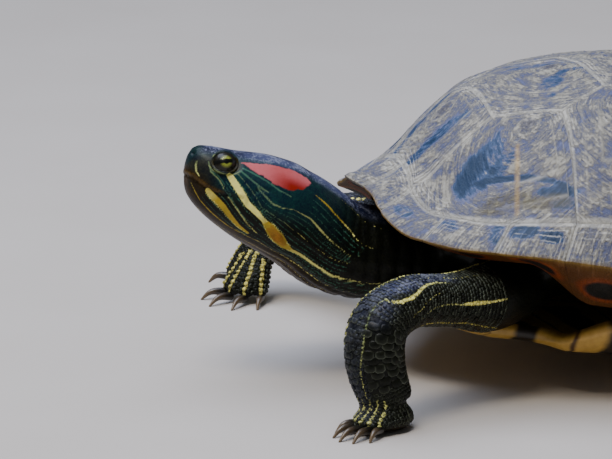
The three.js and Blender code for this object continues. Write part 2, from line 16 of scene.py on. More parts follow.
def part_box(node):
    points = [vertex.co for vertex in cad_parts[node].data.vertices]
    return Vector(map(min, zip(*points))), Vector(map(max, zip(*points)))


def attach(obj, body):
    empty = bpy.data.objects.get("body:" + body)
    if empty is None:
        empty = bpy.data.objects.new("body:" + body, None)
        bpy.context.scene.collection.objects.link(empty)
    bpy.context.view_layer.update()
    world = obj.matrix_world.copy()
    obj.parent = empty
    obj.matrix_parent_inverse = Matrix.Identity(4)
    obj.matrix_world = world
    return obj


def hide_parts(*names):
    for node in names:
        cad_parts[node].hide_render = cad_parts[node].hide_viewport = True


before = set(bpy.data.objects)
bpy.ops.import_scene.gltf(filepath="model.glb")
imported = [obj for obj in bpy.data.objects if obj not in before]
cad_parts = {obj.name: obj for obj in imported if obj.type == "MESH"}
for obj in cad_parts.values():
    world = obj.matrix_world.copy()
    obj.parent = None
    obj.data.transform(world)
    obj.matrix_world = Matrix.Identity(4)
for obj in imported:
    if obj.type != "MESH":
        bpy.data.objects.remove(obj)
bpy.ops.object.select_all(action="DESELECT")
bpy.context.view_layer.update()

# ---- Driving sizes, in millimetres, as the solids have them ----
MM = 0.001
CARAPACE_LENGTH = 220
CARAPACE_WIDTH = 170
WIDEST = 20  # how far behind the middle the shell is widest
SHELL_HEIGHT = 86
SHELL_PITCH = radians(8)  # its front is propped up on the forelegs
SHELL_BACK = -6.4
SHELL_LIFT = 13
HEAD_LENGTH = 56
HEAD_PITCH = radians(18)
HEAD_ROLL = radians(9)
SNOUT = np.array([0, -168.8, 75.6])
EYE_RADIUS = 4.3
EYE_CENTRE = (10.6, 6.85, 3.2)  # back from the snout, out and up, on the head
UP = np.array([0, 0, 1.0])
OFF = -9.0  # a distance inside a marking that says it is nowhere near
SIDES = ((1, "left"), (-1, "right"))


# ---- Shape helpers ----
def smoothstep(value, low, high):
    """0 at low, 1 at high and an eased way between them. low may be the higher one."""
    share = np.clip((np.asarray(value, float) - low) / (high - low), 0, 1)
    return share * share * (3 - 2 * share)


def through(stations):
    """A smooth function through a few stations (x, value), without overshoot between them."""
    x, y = np.array(stations, float).T
    rise = np.diff(y) / np.diff(x)
    product, total = rise[:-1] * rise[1:], rise[:-1] + rise[1:]
    inner = np.where(product > 0, 2 * product / np.where(total == 0, 1, total), 0)
    slope = np.r_[rise[0], inner, rise[-1]]

    def value(at):
        at = np.clip(at, x[0], x[-1])
        i = np.clip(np.searchsorted(x, at, side="right") - 1, 0, len(x) - 2)
        span = x[i + 1] - x[i]
        t = (at - x[i]) / span
        bend = t * t * (3 - 2 * t)
        ends = slope[i] * span * (t - 2 * t * t + t ** 3) + slope[i + 1] * span * (t ** 3 - t * t)
        return y[i] + (y[i + 1] - y[i]) * bend + ends

    return value


def unit(vectors):
    return vectors / np.maximum(np.linalg.norm(vectors, axis=-1, keepdims=True), 1e-9)


class Path:
    """A smooth curve through a few points, read by the share of its length, and the way it runs there. It
    is a Catmull-Rom curve with its knots spaced by the root of their distance, so it makes no loops."""

    def __init__(self, points, samples=60):
        knots = np.array(points, float)
        knots = np.vstack([2 * knots[0] - knots[1], knots, 2 * knots[-1] - knots[-2]])
        gaps = np.sqrt(np.linalg.norm(np.diff(knots, axis=0), axis=1))
        pieces = []
        for i in range(1, len(knots) - 2):
            before, start, end, after = knots[i - 1:i + 3]
            g0, g1, g2 = gaps[i - 1:i + 2]
            leave = ((start - before) / g0 - (end - before) / (g0 + g1) + (end - start) / g1) * g1
            reach = ((end - start) / g1 - (after - start) / (g1 + g2) + (after - end) / g2) * g1
            t = np.linspace(0, 1, samples, endpoint=i == len(knots) - 3)[:, None]
            pieces.append(
                start * (1 - 3 * t * t + 2 * t ** 3) + leave * (t - 2 * t * t + t ** 3)
                + end * (3 * t * t - 2 * t ** 3) + reach * (t ** 3 - t * t)
            )
        self.points = np.vstack(pieces)
        steps = np.linalg.norm(np.diff(self.points, axis=0), axis=1)
        self.length = steps.sum()
        self.shares = np.r_[0, np.cumsum(steps)] / self.length
        self.ways = unit(np.gradient(self.points, self.shares, axis=0))

    def at(self, share):
        return np.stack([np.interp(share, self.shares, self.points[:, k]) for k in range(3)], -1)

    def way(self, share):
        return unit(np.stack([np.interp(share, self.shares, self.ways[:, k]) for k in range(3)], -1))


class Limb:
    """A tapering form along a path. width and depth are half sizes against the share of its length, and
    side is the way that its width points."""

    def __init__(self, path, width, depth, side, start_cap=0.06, end_cap=0.06):
        self.path = Path(path)
        self.width, self.depth = through(width), through(depth)
        self.side = np.array(side, float)
        self.caps = start_cap, end_cap

    def frame(self, t):
        """The way along, across and through the limb."""
        way = self.path.way(t)
        across = unit(self.side - (way @ self.side)[..., None] * way)
        return way, across, np.cross(way, across)

    def surface(self, turn, t):
        """The point on the skin at a turn round the path and a share of its length, with rounded ends."""
        _, across, deep = self.frame(t)
        start_cap, end_cap = self.caps
        start = np.where(t < start_cap, 1 - t / start_cap, 0)
        end = np.where(t > 1 - end_cap, 1 - (1 - t) / end_cap, 0)
        reach = np.sqrt(np.maximum(0, 1 - (start + end) ** 2))
        wide = (np.cos(turn) * self.width(t) * reach)[..., None]
        thick = (np.sin(turn) * self.depth(t) * reach)[..., None]
        return self.path.at(t) + across * wide + deep * thick

    def place(self, turn, along):
        """The surface as moulded() asks for it, with finer rings at the ends."""
        return self.surface(turn, (1 - np.cos(pi * along)) / 2)


# ---- Mesh helpers ----
shift = np.zeros(3)  # from the drawing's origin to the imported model's, set below


def coordinates(mesh):
    co = np.empty(len(mesh.vertices) * 3)
    mesh.vertices.foreach_get("co", co)
    return co.reshape(-1, 3)


def in_mm(mesh):
    return coordinates(mesh) / MM - shift


def move_to(mesh, points):
    """Puts a mesh's vertices at points given in millimetres."""
    mesh.vertices.foreach_set("co", ((points + shift) * MM).ravel())
    mesh.update()


def moulded(name, around, rings, place):
    """A sphere whose points are moved by place(turn, along): turn goes once round and along goes from
    pole to pole. It becomes one closed form."""
    bpy.ops.mesh.primitive_uv_sphere_add(segments=around, ring_count=rings, radius=1)
    made = bpy.context.object
    made.name = made.data.name = name
    ball = coordinates(made.data)
    along = np.arccos(np.clip(ball[:, 2], -1, 1)) / pi
    turn = np.arctan2(ball[:, 1], ball[:, 0]) % (2 * pi)
    turn = np.where(turn > 2 * pi - 1e-4, 0, turn)
    move_to(made.data, place(turn, along))
    face_out(made.data)
    return made


def face_out(mesh):
    """Turns the faces of a closed mesh outwards, by the sign of the room it encloses."""
    mesh.calc_loop_triangles()
    corners = np.empty(len(mesh.loop_triangles) * 3, int)
    mesh.loop_triangles.foreach_get("vertices", corners)
    a, b, c = coordinates(mesh)[corners.reshape(-1, 3)].transpose(1, 0, 2)
    if np.einsum("ij,ij->i", a, np.cross(b, c)).sum() < 0:
        mesh.flip_normals()


def joined(pieces, name):
    bpy.ops.object.select_all(action="DESELECT")
    for piece in pieces:
        piece.select_set(True)
    bpy.context.view_layer.objects.active = pieces[0]
    if len(pieces) > 1:
        bpy.ops.object.join()
    made = bpy.context.object
    made.name = made.data.name = name
    made.select_set(False)
    return made


def give(mesh, **values):
    """Stores one number per vertex under each name, for the materials to read."""
    for name, numbers in values.items():
        layer = mesh.attributes.get(name) or mesh.attributes.new(name, "FLOAT", "POINT")
        layer.data.foreach_set("value", np.asarray(numbers, np.float32))


def finished(piece, slot, material, *nodes):
    """Smooths a piece's shading and ties it to the frame."""
    mesh = piece.data
    mesh.polygons.foreach_set("use_smooth", np.ones(len(mesh.polygons), bool))
    mesh.materials.clear()
    mesh.materials.append(material)
    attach(piece, "root")
    if nodes:
        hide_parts(*nodes)
    return piece


# ---- Head ----
# Head frame: u runs back from the snout, v out to the left and w up, with the snout at 0, 0, 0. These are
# its top, its underside, its half width and the level at which it is widest, against u.
crown = through([
    (0, 1.5), (0.4, 4.4), (1.2, 6.4), (2.6, 7.5), (5.5, 8.1), (9.5, 8.5), (14, 8.7), (20, 9.4), (28, 10.2),
    (36, 9.9), (43, 8), (50, 4.4), (56, -6),
])
throat = through([
    (0, 1.5), (0.4, -1.8), (1.2, -6), (2.4, -8.6), (4.5, -10.8), (7.5, -13), (11.4, -15.2), (17.6, -17.9),
    (23.7, -20.1), (30, -21.8), (36.5, -23.3), (43, -24.4), (50, -24), (56, -10),
])
cheek = through([
    (0, 0), (0.4, 2.7), (1.2, 4.5), (3, 6.3), (6, 8.3), (9.5, 10), (14, 11.7), (20, 13.6), (27, 15.6),
    (33, 16.4), (40, 16.2), (48, 15.4), (53, 12), (56, 0),
])
cheek_level = through([(0, 1.5), (3, -1.2), (10, -3), (20, -5), (30, -6.5), (43, -8), (56, -8)])


def turn_about_x(angle):
    return np.array([[1, 0, 0], [0, cos(angle), -sin(angle)], [0, sin(angle), cos(angle)]])


def turn_about_y(angle):
    return np.array([[cos(angle), 0, sin(angle)], [0, 1, 0], [-sin(angle), 0, cos(angle)]])


HEAD_TURN = turn_about_x(-HEAD_PITCH) @ turn_about_y(-HEAD_ROLL)
HEAD_UP = HEAD_TURN @ UP


def head_point(u, v, w):
    u, v, w = np.broadcast_arrays(*(np.asarray(k, float) for k in (u, v, w)))
    return np.stack([v, u, w], -1) @ HEAD_TURN.T + SNOUT


def in_head(points):
    """Points as u, v, w."""
    v, u, w = ((points - SNOUT) @ HEAD_TURN).T
    return u, v, w


def head_place(turn, along):
    u = HEAD_LENGTH * (1 - np.cos(pi * along)) / 2
    c, s = np.cos(turn), np.sin(turn)
    level = cheek_level(u)
    reach = np.where(s > 0, crown(u) - level, level - throat(u))
    squareness = np.where(s > 0, 0.84, 0.96)
    v = np.sign(c) * cheek(u) * np.abs(c) ** squareness
    w = level + np.sign(s) * reach * np.abs(s) ** squareness
    return head_point(u, v, w)


NECK = Limb(
    path=[head_point(30, 0, -6.5), head_point(42, 0, -8.2), (0, -117, 44), (0, -100, 39.5), (0, -76, 38)],
    width=[(0, 14.5), (0.12, 16.2), (0.3, 16.2), (0.6, 16.2), (0.85, 17.5), (1, 18)],
    depth=[(0, 15), (0.12, 16.3), (0.3, 16.5), (0.6, 15.9), (0.85, 16), (1, 16)],
    side=(1, 0, 0), start_cap=0.1,
)

# The line that the markings on head and neck are measured along: distance from the snout, and degrees
# round it from the animal's side (0) to its top (90) or its underside (-90).
NAPE = Path([
    head_point(0, 0, 0), head_point(10, 0, -3), head_point(20, 0, -5), head_point(30, 0, -6.5),
    head_point(42, 0, -8.2), (0, -117, 44), (0, -100, 39.5), (0, -76, 38),
])

# ---- Legs, feet and tail ----
# heading is the foot's degrees outwards and spread how wide its toes are fanned. reach is how much of
# their length the toes stretch. rise lifts the palm, and outer_lift the outer toe. path runs from the
# trunk to the wrist, and across is the way that the leg's width points.
LEGS = {
    "foreleg_left": dict(
        side=1, foot="fore", wrist=(65.5, -118, 7), heading=27, spread=0.5, reach=0.56, rise=0, outer_lift=0,
        path=[(28, -56, 38), (46, -80, 35), (54, -98, 37.5), (60.5, -113, 39.5), (65, -123.6, 34),
              (66.5, -125, 22), (68, -120.5, 7)],
        width=[(0, 13), (0.25, 13), (0.45, 9.6), (0.62, 9.6), (0.8, 9.9), (1, 8.6)],
        depth=[(0, 12), (0.25, 12), (0.45, 8.6), (0.62, 8.4), (0.8, 7.4), (1, 6)], across=(0.45, 0.9, 0),
    ),
    "foreleg_right": dict(
        side=-1, foot="fore", wrist=(-98, -107, 7), heading=-20, spread=1.15, reach=0.74, rise=14,
        outer_lift=4,
        path=[(-28, -56, 38), (-45, -73, 36), (-61, -84, 35), (-74, -91, 32), (-86, -97, 27),
              (-95, -104, 20)],
        width=[(0, 13), (0.3, 13), (0.5, 10), (0.7, 10.2), (0.85, 9.8), (1, 8.8)],
        depth=[(0, 12), (0.3, 12), (0.5, 9), (0.7, 8.4), (0.85, 7), (1, 6)], across=(0.8, -0.55, 0),
    ),
    "hindleg_left": dict(
        side=1, foot="hind", wrist=(92.5, 69, 7), heading=66, spread=1, reach=1, rise=0, outer_lift=0,
        path=[(26, 52, 26), (50, 53, 22), (70, 49, 19), (84, 49, 17), (90, 58, 14), (92, 68, 8)],
        width=[(0, 15), (0.35, 15), (0.6, 12), (0.78, 10.6), (1, 9.5)],
        depth=[(0, 13), (0.35, 12), (0.6, 10.5), (0.78, 9), (1, 6.6)], across=(0.3, 0.2, 1),
    ),
    "hindleg_right": dict(
        side=-1, foot="hind", wrist=(-90.5, 77, 7), heading=74, spread=1, reach=1, rise=0, outer_lift=0,
        path=[(-26, 52, 26), (-50, 55, 22), (-69, 54, 19), (-82, 56, 17), (-88, 66, 14), (-90, 76, 8)],
        width=[(0, 15), (0.35, 15), (0.6, 12), (0.78, 10.6), (1, 9.5)],
        depth=[(0, 13), (0.35, 12), (0.6, 10.5), (0.78, 9), (1, 6.6)], across=(-0.3, 0.2, 1),
    ),
}
# A toe is its degrees outwards, its length and its claw's length, from the inner toe to the outer one.
FEET = {
    "fore": dict(palm=(9.4, 8.8, 6.4), toe_base=7.2, toe_radius=2.8,
                 toes=[(-36, 12.5, 7.5), (-18, 16, 9), (0, 17.5, 9.5), (18, 16, 9), (36, 12.5, 7.5)]),
    "hind": dict(palm=(15, 13, 7.5), toe_base=12, toe_radius=3.2,
                 toes=[(-34, 11, 6.5), (-15, 14, 7), (3, 15.5, 7), (21, 14.5, 6), (42, 11, 0)]),
}
LIMBS = {
    name: Limb(leg["path"], leg["width"], leg["depth"], leg["across"], end_cap=0.03)
    for name, leg in LEGS.items()
}
TAIL = Limb(
    path=[(0, 72, 19), (0, 92, 14.5), (3, 107, 9.5), (9, 121, 5.4), (17, 133, 2.9), (25, 141, 1.5)],
    width=[(0, 11), (0.3, 9.5), (0.5, 6.6), (0.75, 4), (1, 1.7)],
    depth=[(0, 10), (0.3, 8.4), (0.5, 6), (0.75, 3.7), (1, 1.7)], side=(1, 0, 0),
)


def floor_way(side, angle):
    """The way along the floor that lies so many degrees outwards from straight ahead."""
    return np.array([side * sin(radians(angle)), -cos(radians(angle)), 0])


def toes_of(leg):
    """A foot's toes, each with its way along the floor, its start, its tip and its claw's length."""
    foot = FEET[leg["foot"]]
    toes = []
    for fan, toe, claw in foot["toes"]:
        lift = leg["outer_lift"] if fan == foot["toes"][-1][0] else 0
        way = floor_way(leg["side"], leg["heading"] + fan * leg["spread"])
        start = np.array(leg["wrist"], float)
        start += foot["toe_base"] * floor_way(leg["side"], leg["heading"] + fan * 0.8)
        start[2] = 4.4 + leg["rise"] * 0.8 + lift
        tip = start + toe * leg["reach"] * way
        tip[2] = 2 + lift
        toes.append(dict(way=way, start=start, tip=tip, claw=claw))
    return toes


def toe_limb(toe, radius):
    """A toe, which tapers and bows up a little between its start and its tip."""
    start, tip, way = toe["start"], toe["tip"], toe["way"]
    return Limb(
        path=[start - 6 * way, start, (start + tip) / 2 + 0.9 * UP, tip],
        width=[(0, radius * 0.9), (0.4, radius), (0.7, radius * 0.95), (1, radius * 0.78)],
        depth=[(0, radius * 1.1), (0.4, radius), (0.7, radius * 0.92), (1, radius * 0.72)],
        side=(-way[1], way[0], 0), end_cap=0.12,
    )


def claw_limb(toe):
    """A claw, which curves down from the toe's tip."""
    tip, way, length = toe["tip"], toe["way"], toe["claw"]
    return Limb(
        path=[tip - 1.6 * way + 0.3 * UP, tip + length * 0.5 * way + 0.6 * UP,
              tip + length * 0.92 * way - 2 * UP],
        width=[(0, 1.35), (0.4, 1.15), (0.8, 0.6), (1, 0.3)],
        depth=[(0, 1.5), (0.4, 1.25), (0.8, 0.65), (1, 0.3)],
        side=(-way[1], way[0], 0), start_cap=0.04, end_cap=0.04,
    )


def palm_place(leg):
    """A palm: a rounded pad ahead of the wrist."""
    length, half, height = FEET[leg["foot"]]["palm"]
    ahead = floor_way(leg["side"], leg["heading"])
    aside = np.array([-ahead[1], ahead[0], 0])
    centre = np.array(leg["wrist"]) + 0.42 * length * ahead

    def place(turn, along):
        ring, rise = np.sin(pi * along), np.cos(pi * along)
        points = centre + np.outer(ring * np.cos(turn) * length, ahead)
        points += np.outer(ring * np.sin(turn) * half, aside)
        points[:, 2] = 3.6 + leg["rise"] * (1 - 0.5 * ring * np.cos(turn))
        points[:, 2] += rise * np.where(rise > 0, height, 4.4)
        return points

    return place


def web_place(leg, toes):
    """A thin fan from the palm to partway along the toes, which slopes as they do."""
    heel = np.array(leg["wrist"]) + floor_way(leg["side"], leg["heading"])
    heel[2] = 2.6 + leg["rise"]
    edge = np.array([heel] + [toe["start"] + 0.72 * (toe["tip"] - toe["start"]) for toe in toes] + [heel])
    middle = edge[1:-1].mean(0) * 0.55 + heel * 0.45
    run = np.r_[0, np.cumsum(np.linalg.norm(np.diff(edge, axis=0), axis=1))]

    def place(turn, along):
        at = turn / (2 * pi) * run[-1]
        outline = np.stack([np.interp(at, run, edge[:, k]) for k in range(3)], -1)
        reach = np.sqrt(np.sin(pi * along))[:, None]
        fan = middle + reach * (outline - middle)
        fan[:, 2] += 0.9 * np.cos(pi * along) - 1.2
        return fan

    return place


# ---- Shell ----
# The shell has a frame of its own: the plastron's underside is at z 0, and forward is -Y.
# A turn is an angle round it from the front, and share runs from 0 at the top to 1 at the rim.
FRONT_REACH = CARAPACE_LENGTH / 2 + WIDEST
REAR_REACH = CARAPACE_LENGTH / 2 - WIDEST
SHELL_TURN = turn_about_x(-SHELL_PITCH)
# The rim's height and the marginal scutes' depth go by degrees from the front. The dome's fall ahead, at
# the sides and behind goes by share, from 1 at the top to 0 at the rim.
rim_height = through([
    (0, 38), (6, 36.5), (13, 32.3), (24, 28.2), (34, 28.4), (43, 29.8), (56, 31.3), (90, 31), (130, 33),
    (160, 30.5), (180, 27.5),
])
front_dome = through([
    (0, 1), (0.3, 0.935), (0.5, 0.82), (0.6, 0.745), (0.68, 0.655), (0.74, 0.53), (0.79, 0.4), (0.85, 0.215),
    (0.91, 0.1), (1, 0),
])
side_dome = through([
    (0, 1), (0.3, 0.955), (0.5, 0.875), (0.65, 0.765), (0.78, 0.61), (0.88, 0.42), (0.94, 0.235), (1, 0),
])
rear_dome = through([
    (0, 1), (0.25, 0.95), (0.42, 0.85), (0.58, 0.68), (0.72, 0.47), (0.84, 0.265), (0.92, 0.13), (1, 0),
])
marginal_depth = through([
    (0, 15), (8, 13.5), (14, 11), (21, 9.5), (30, 8.7), (42, 7.3), (60, 6.8), (110, 6.5), (140, 13),
    (180, 15),
])


def from_shell(points):
    return points @ SHELL_TURN.T + np.array([0, SHELL_BACK, SHELL_LIFT])


def degrees_from_front(turn):
    turn = np.asarray(turn) % (2 * pi)
    return np.degrees(np.where(turn > pi, 2 * pi - turn, turn))


def bridge(turn):
    """How far a turn lies where the carapace and the plastron are joined."""
    angle = degrees_from_front(turn)
    return smoothstep(angle, 46, 60) * (1 - smoothstep(angle, 114, 128))


def rim_point(turn):
    """The rim of the carapace: two half superellipses, the longer one in front."""
    c, s = np.cos(turn), np.sin(turn)
    reach = np.where(c > 0, FRONT_REACH, REAR_REACH)
    squareness = np.where(c > 0, 2.4, 3)
    x = CARAPACE_WIDTH / 2 * np.sign(s) * np.abs(s) ** (2 / 2.2)
    y = WIDEST - np.sign(c) * reach * np.abs(c) ** (2 / squareness)
    return np.stack([x, y, rim_height(degrees_from_front(turn))], -1)


def dome_point(turn, share):
    """The carapace's outer surface: share is 0 at the middle and 1 at the rim."""
    rim = rim_point(turn)
    ahead = np.maximum(0, np.cos(turn)) ** 2
    behind = np.maximum(0, -np.cos(turn)) ** 2
    height = ahead * front_dome(share) + behind * rear_dome(share) + (1 - ahead - behind) * side_dome(share)
    z = rim[..., 2] + (SHELL_HEIGHT - rim[..., 2]) * height
    return np.stack([rim[..., 0] * share, rim[..., 1] * share, z], -1)


RIM_TURNS = np.linspace(-pi, pi, 2881)
RIM_PLAN = rim_point(RIM_TURNS)
RIM_BEARINGS = np.unwrap(np.arctan2(RIM_PLAN[:, 0], -RIM_PLAN[:, 1]))


def turn_at(x, forward):
    """The turn on which a plan point lies."""
    return np.interp(np.arctan2(x, forward), RIM_BEARINGS, RIM_TURNS)


def dome_height(x, forward):
    turn = turn_at(x, forward)
    rim = rim_point(turn)
    return dome_point(turn, np.hypot(x, forward) / np.hypot(rim[..., 0], rim[..., 1]))[..., 2]


# ---- Skin: one closed mesh over head, neck, trunk, legs, feet and tail ----
VOXEL = 1.15  # how fine the forms are run together
SKIN_DEPTH = 0.175  # how far the skin lies inside the forms, so that scales stand out to them
AT_ONCE = 20000  # points that are measured in one go, to spare memory


def trunk_place(turn, along):
    """The body inside the shell, as rings from under the dome down to the plastron."""
    stations = [dome_point(turn, share) - 9 * UP for share in (0, 0.35, 0.6, 0.74)]
    rim = rim_point(turn)
    for inward, z in ((23, 35 + 4 * bridge(turn)), (25, 18 + 8 * bridge(turn))):
        share = (1 - inward / np.hypot(rim[:, 0], rim[:, 1]))[:, None]
        stations.append(np.column_stack([rim[:, :2] * share, z]))
    stations.append(np.column_stack([rim[:, 0] * 0.5, rim[:, 1] * 0.7, np.full(len(turn), 10.5)]))
    stations.append(np.tile([0, 0, 9.0], (len(turn), 1)))
    step = np.rint(along * 7).astype(int)
    return from_shell(np.choose(step[:, None], stations))


def flesh_forms():
    forms = [
        moulded("head", 96, 80, head_place), moulded("neck", 72, 60, NECK.place),
        moulded("trunk", 48, 7, trunk_place), moulded("tail", 36, 60, TAIL.place),
    ]
    for name, leg in LEGS.items():
        toes = toes_of(leg)
        radius = FEET[leg["foot"]]["toe_radius"]
        forms.append(moulded(name, 48, 60, LIMBS[name].place))
        forms.append(moulded(name + "_palm", 40, 24, palm_place(leg)))
        forms += [moulded(name + "_toe", 24, 20, toe_limb(toe, radius).place) for toe in toes]
        forms.append(moulded(name + "_web", 60, 6, web_place(leg, toes)))
    return forms


def neighbours(mesh):
    edges = np.empty(len(mesh.edges) * 2, int)
    mesh.edges.foreach_get("vertices", edges)
    a, b = edges.reshape(-1, 2).T
    return np.r_[a, b], np.r_[b, a]


def relaxed(points, links, times, strength=0.5):
    """Points moved towards the middle of their neighbours. strength may differ from point to point."""
    here, there = links
    count = np.maximum(np.bincount(here, minlength=len(points)), 1)
    strength = np.broadcast_to(strength, len(points))[:, None]
    for _ in range(times):
        middle = np.stack([np.bincount(here, points[there, k], len(points)) for k in range(3)], -1)
        points = points + strength * (middle / count[:, None] - points)
    return points


def vertex_normals(mesh):
    normals = np.empty(len(mesh.vertices) * 3)
    mesh.vertices.foreach_get("normal", normals)
    return normals.reshape(-1, 3)


def split_faces(piece, chosen):
    """Splits each face in four whose corners are all chosen."""
    mesh = piece.data
    bpy.context.view_layer.objects.active = piece
    corners = np.empty(len(mesh.loops), int)
    mesh.loops.foreach_get("vertex_index", corners)
    first = np.empty(len(mesh.polygons), int)
    mesh.polygons.foreach_get("loop_start", first)
    picked = np.minimum.reduceat(chosen[corners].astype(int), first) > 0
    mesh.polygons.foreach_set("select", picked)
    mesh.vertices.foreach_set("select", np.zeros(len(mesh.vertices), bool))
    mesh.edges.foreach_set("select", np.zeros(len(mesh.edges), bool))
    bpy.ops.object.mode_set(mode="EDIT")
    bpy.ops.mesh.select_mode(type="FACE")
    bpy.ops.mesh.subdivide(number_cuts=1, quadcorner="INNERVERT")
    bpy.ops.object.mode_set(mode="OBJECT")


def near_axis(points, axis, reach):
    """The nearest of an axis's points to each point, and how far off it is, where that is within reach."""
    low, high = axis.min(0) - reach, axis.max(0) + reach
    inside = np.flatnonzero(((points > low) & (points < high)).all(1))
    nearest = np.zeros(len(points), int)
    distance = np.full(len(points), 1e9)
    for part in np.array_split(inside, len(inside) // AT_ONCE + 1):
        gap = np.linalg.norm(points[part][:, None] - axis[None], axis=2)
        nearest[part] = gap.argmin(1)
        distance[part] = gap.min(1)
    return nearest, distance


def hidden_in_shell(points):
    """Where flesh is shut in between carapace and plastron, away from the openings."""
    local = (points - np.array([0, SHELL_BACK, SHELL_LIFT])) @ SHELL_TURN
    turn = turn_at(local[:, 0], -local[:, 1])
    rim = rim_point(turn)
    share = np.hypot(local[:, 0], local[:, 1]) / np.hypot(rim[:, 0], rim[:, 1])
    covered = (share < 0.9) & (local[:, 2] > rim[:, 2] + 3)
    return (share < 0.6) | covered | ((share < 0.87) & (bridge(turn) > 0.6))


def thin_out(body, chosen, ratio):
    """Leaves only a share of the faces, where the skin can't be seen."""
    mesh = body.data
    mesh.polygons.foreach_set("select", np.zeros(len(mesh.polygons), bool))
    mesh.edges.foreach_set("select", np.zeros(len(mesh.edges), bool))
    mesh.vertices.foreach_set("select", chosen)
    bpy.context.view_layer.objects.active = body
    bpy.ops.object.mode_set(mode="EDIT")
    bpy.ops.mesh.select_mode(type="VERT")
    bpy.ops.mesh.decimate(ratio=ratio)
    bpy.ops.object.mode_set(mode="OBJECT")


class Nape:
    """Where points lie along the head and neck: s mm from the snout, the angle round in degrees, and the
    distance from the middle. Mirrored, so both sides carry the same markings."""

    def __init__(self):
        self.shares = np.linspace(0, 1, 260)
        self.axis = NAPE.at(self.shares)
        self.ways = NAPE.way(self.shares)
        self.s = self.shares * NAPE.length
        upright = smoothstep(self.s, 41, 81)[:, None]
        up = HEAD_UP * (1 - upright) + UP * upright
        self.up = unit(up - (up * self.ways).sum(1)[:, None] * self.ways)
        self.side = np.cross(self.ways, self.up)
        self.side *= np.sign(self.side[:, :1])

    def __call__(self, points):
        s, angle, reach = np.zeros(len(points)), np.zeros(len(points)), np.full(len(points), 1e9)
        for part in np.array_split(np.arange(len(points)), len(points) // AT_ONCE + 1):
            gap = points[part][:, None] - self.axis[None]
            far = np.linalg.norm(gap, axis=2)
            ahead = (gap * self.ways).sum(2)
            best = np.where(far < 34, np.abs(ahead) + 0.02 * far, 1e9).argmin(1)
            row = np.arange(len(part))
            offset = gap[row, best]
            s[part] = np.clip(self.s[best] + ahead[row, best], 0, None)
            out = np.abs((offset * self.side[best]).sum(1))
            high = (offset * self.up[best]).sum(1)
            angle[part] = np.degrees(np.arctan2(high, out))
            reach[part] = far[row, best]
        return s, angle, reach


nape = Nape()

# The mouth's line, as (u, w) on the head's side, and the nostrils, ear drum and lids.
mouth_level = through([
    (0, -3), (2, -3.5), (3.5, -4.3), (5.5, -5.3), (8, -6.1), (10, -6.5), (13, -6.3), (16, -6.1), (19, -6.5),
])
MOUTH_CORNER = 18.5
NOSTRIL = (0.9, 1.9, 4.3)
EAR_DRUM = (26, -4, 5.2)  # s, angle and radius
LID_OPENING = (3.45, 1.95)  # half the length and half the height
LID_RIM = (4.55, 3.1)


def eye_axes(side):
    """The way the eye looks, the way back along the head and the way up, across its opening."""
    gaze = unit(HEAD_TURN @ np.array([side * 0.975, 0.02, 0.2]))
    back = HEAD_TURN @ np.array([0, 1.0, 0.10])
    back = unit(back - (back @ gaze) * gaze)
    up = np.cross(gaze, back)
    return gaze, back, up * np.sign(up @ HEAD_UP)


def eye_centre(side):
    return head_point(EYE_CENTRE[0], side * EYE_CENTRE[1], EYE_CENTRE[2])


def oval_reach(half_sizes, bearing):
    """How far an upright oval reaches at a bearing from its middle."""
    long, high = half_sizes
    return long * high / np.hypot(high * np.cos(bearing), long * np.sin(bearing))


def sculpt_eyes(points):
    """Draws the skin in behind each eyeball, and lays its two lids over the ball as a rounded rim with a
    crease round it."""
    for side, _ in SIDES:
        centre = eye_centre(side)
        gaze, back, up = eye_axes(side)
        offset = points - centre
        far = np.linalg.norm(offset, axis=1)
        across, high, out = offset @ back, offset @ up, offset @ gaze
        ring = np.hypot(across, high) + 1e-6
        bearing = np.arctan2(high, across)
        inner, outer = oval_reach(LID_OPENING, bearing), oval_reach(LID_RIM, bearing)
        lid = (ring - inner) / (outer - inner)  # 0 at the opening's edge and 1 at the rim's
        around = np.clip(lid, 0, 1)
        rim = EYE_RADIUS + 0.12 + 0.62 * np.sin(pi * np.clip(around * 0.92 + 0.08, 0, 1)) ** 0.8
        socket = EYE_RADIUS - 1.1
        wanted = np.where(lid < 0, socket, rim)
        crease = -0.28 * np.exp(-((lid - 1.25) / 0.22) ** 2) + 0.22 * np.exp(-((lid - 1.9) / 0.4) ** 2)
        blend = 1 - smoothstep(lid, 0.95, 2.3)
        target = far + (wanted - far) * np.where(lid < 0.95, 1, blend) + np.where(lid > 0.95, crease, 0)
        active = (out > 0.5) & (far < 9) & (lid < 3.2)
        points[active] = (centre + offset * (target / far)[:, None])[active]
    return points


def sculpt_head(points):
    """Cuts the mouth and the nostrils."""
    u, v, w = in_head(points)
    front = u < 22
    # The mouth: a slit with the horny upper edge standing a little over the lower one.
    level = mouth_level(u)
    off = w - level
    open_share = 1 - smoothstep(u, MOUTH_CORNER - 1.5, MOUTH_CORNER + 0.6)
    ahead = 0.35 * np.minimum(u - 3, 0) * 1.6
    outwards = unit(np.stack([v, ahead, np.zeros_like(u)], -1) + 1e-9) @ HEAD_TURN.T
    lip = -0.75 * np.exp(-(off / 0.33) ** 2) + 0.3 * np.exp(-((off - 0.95) / 0.55) ** 2)
    lip -= 0.28 * smoothstep(-off, 0.3, 0.8) * (1 - smoothstep(-off, 1.5, 4.5))
    amount = np.where(front & (w < level + 5), lip * open_share, 0)
    points = points + outwards * amount[:, None]
    for side, _ in SIDES:
        place = head_point(NOSTRIL[0], side * NOSTRIL[1], NOSTRIL[2])
        hole = np.exp(-(np.linalg.norm(points - place, axis=1) / 0.75) ** 2)
        points = points + (HEAD_TURN @ np.array([-side * 0.4, 0.9, -0.2])) * (1.0 * hole)[:, None]
    return points


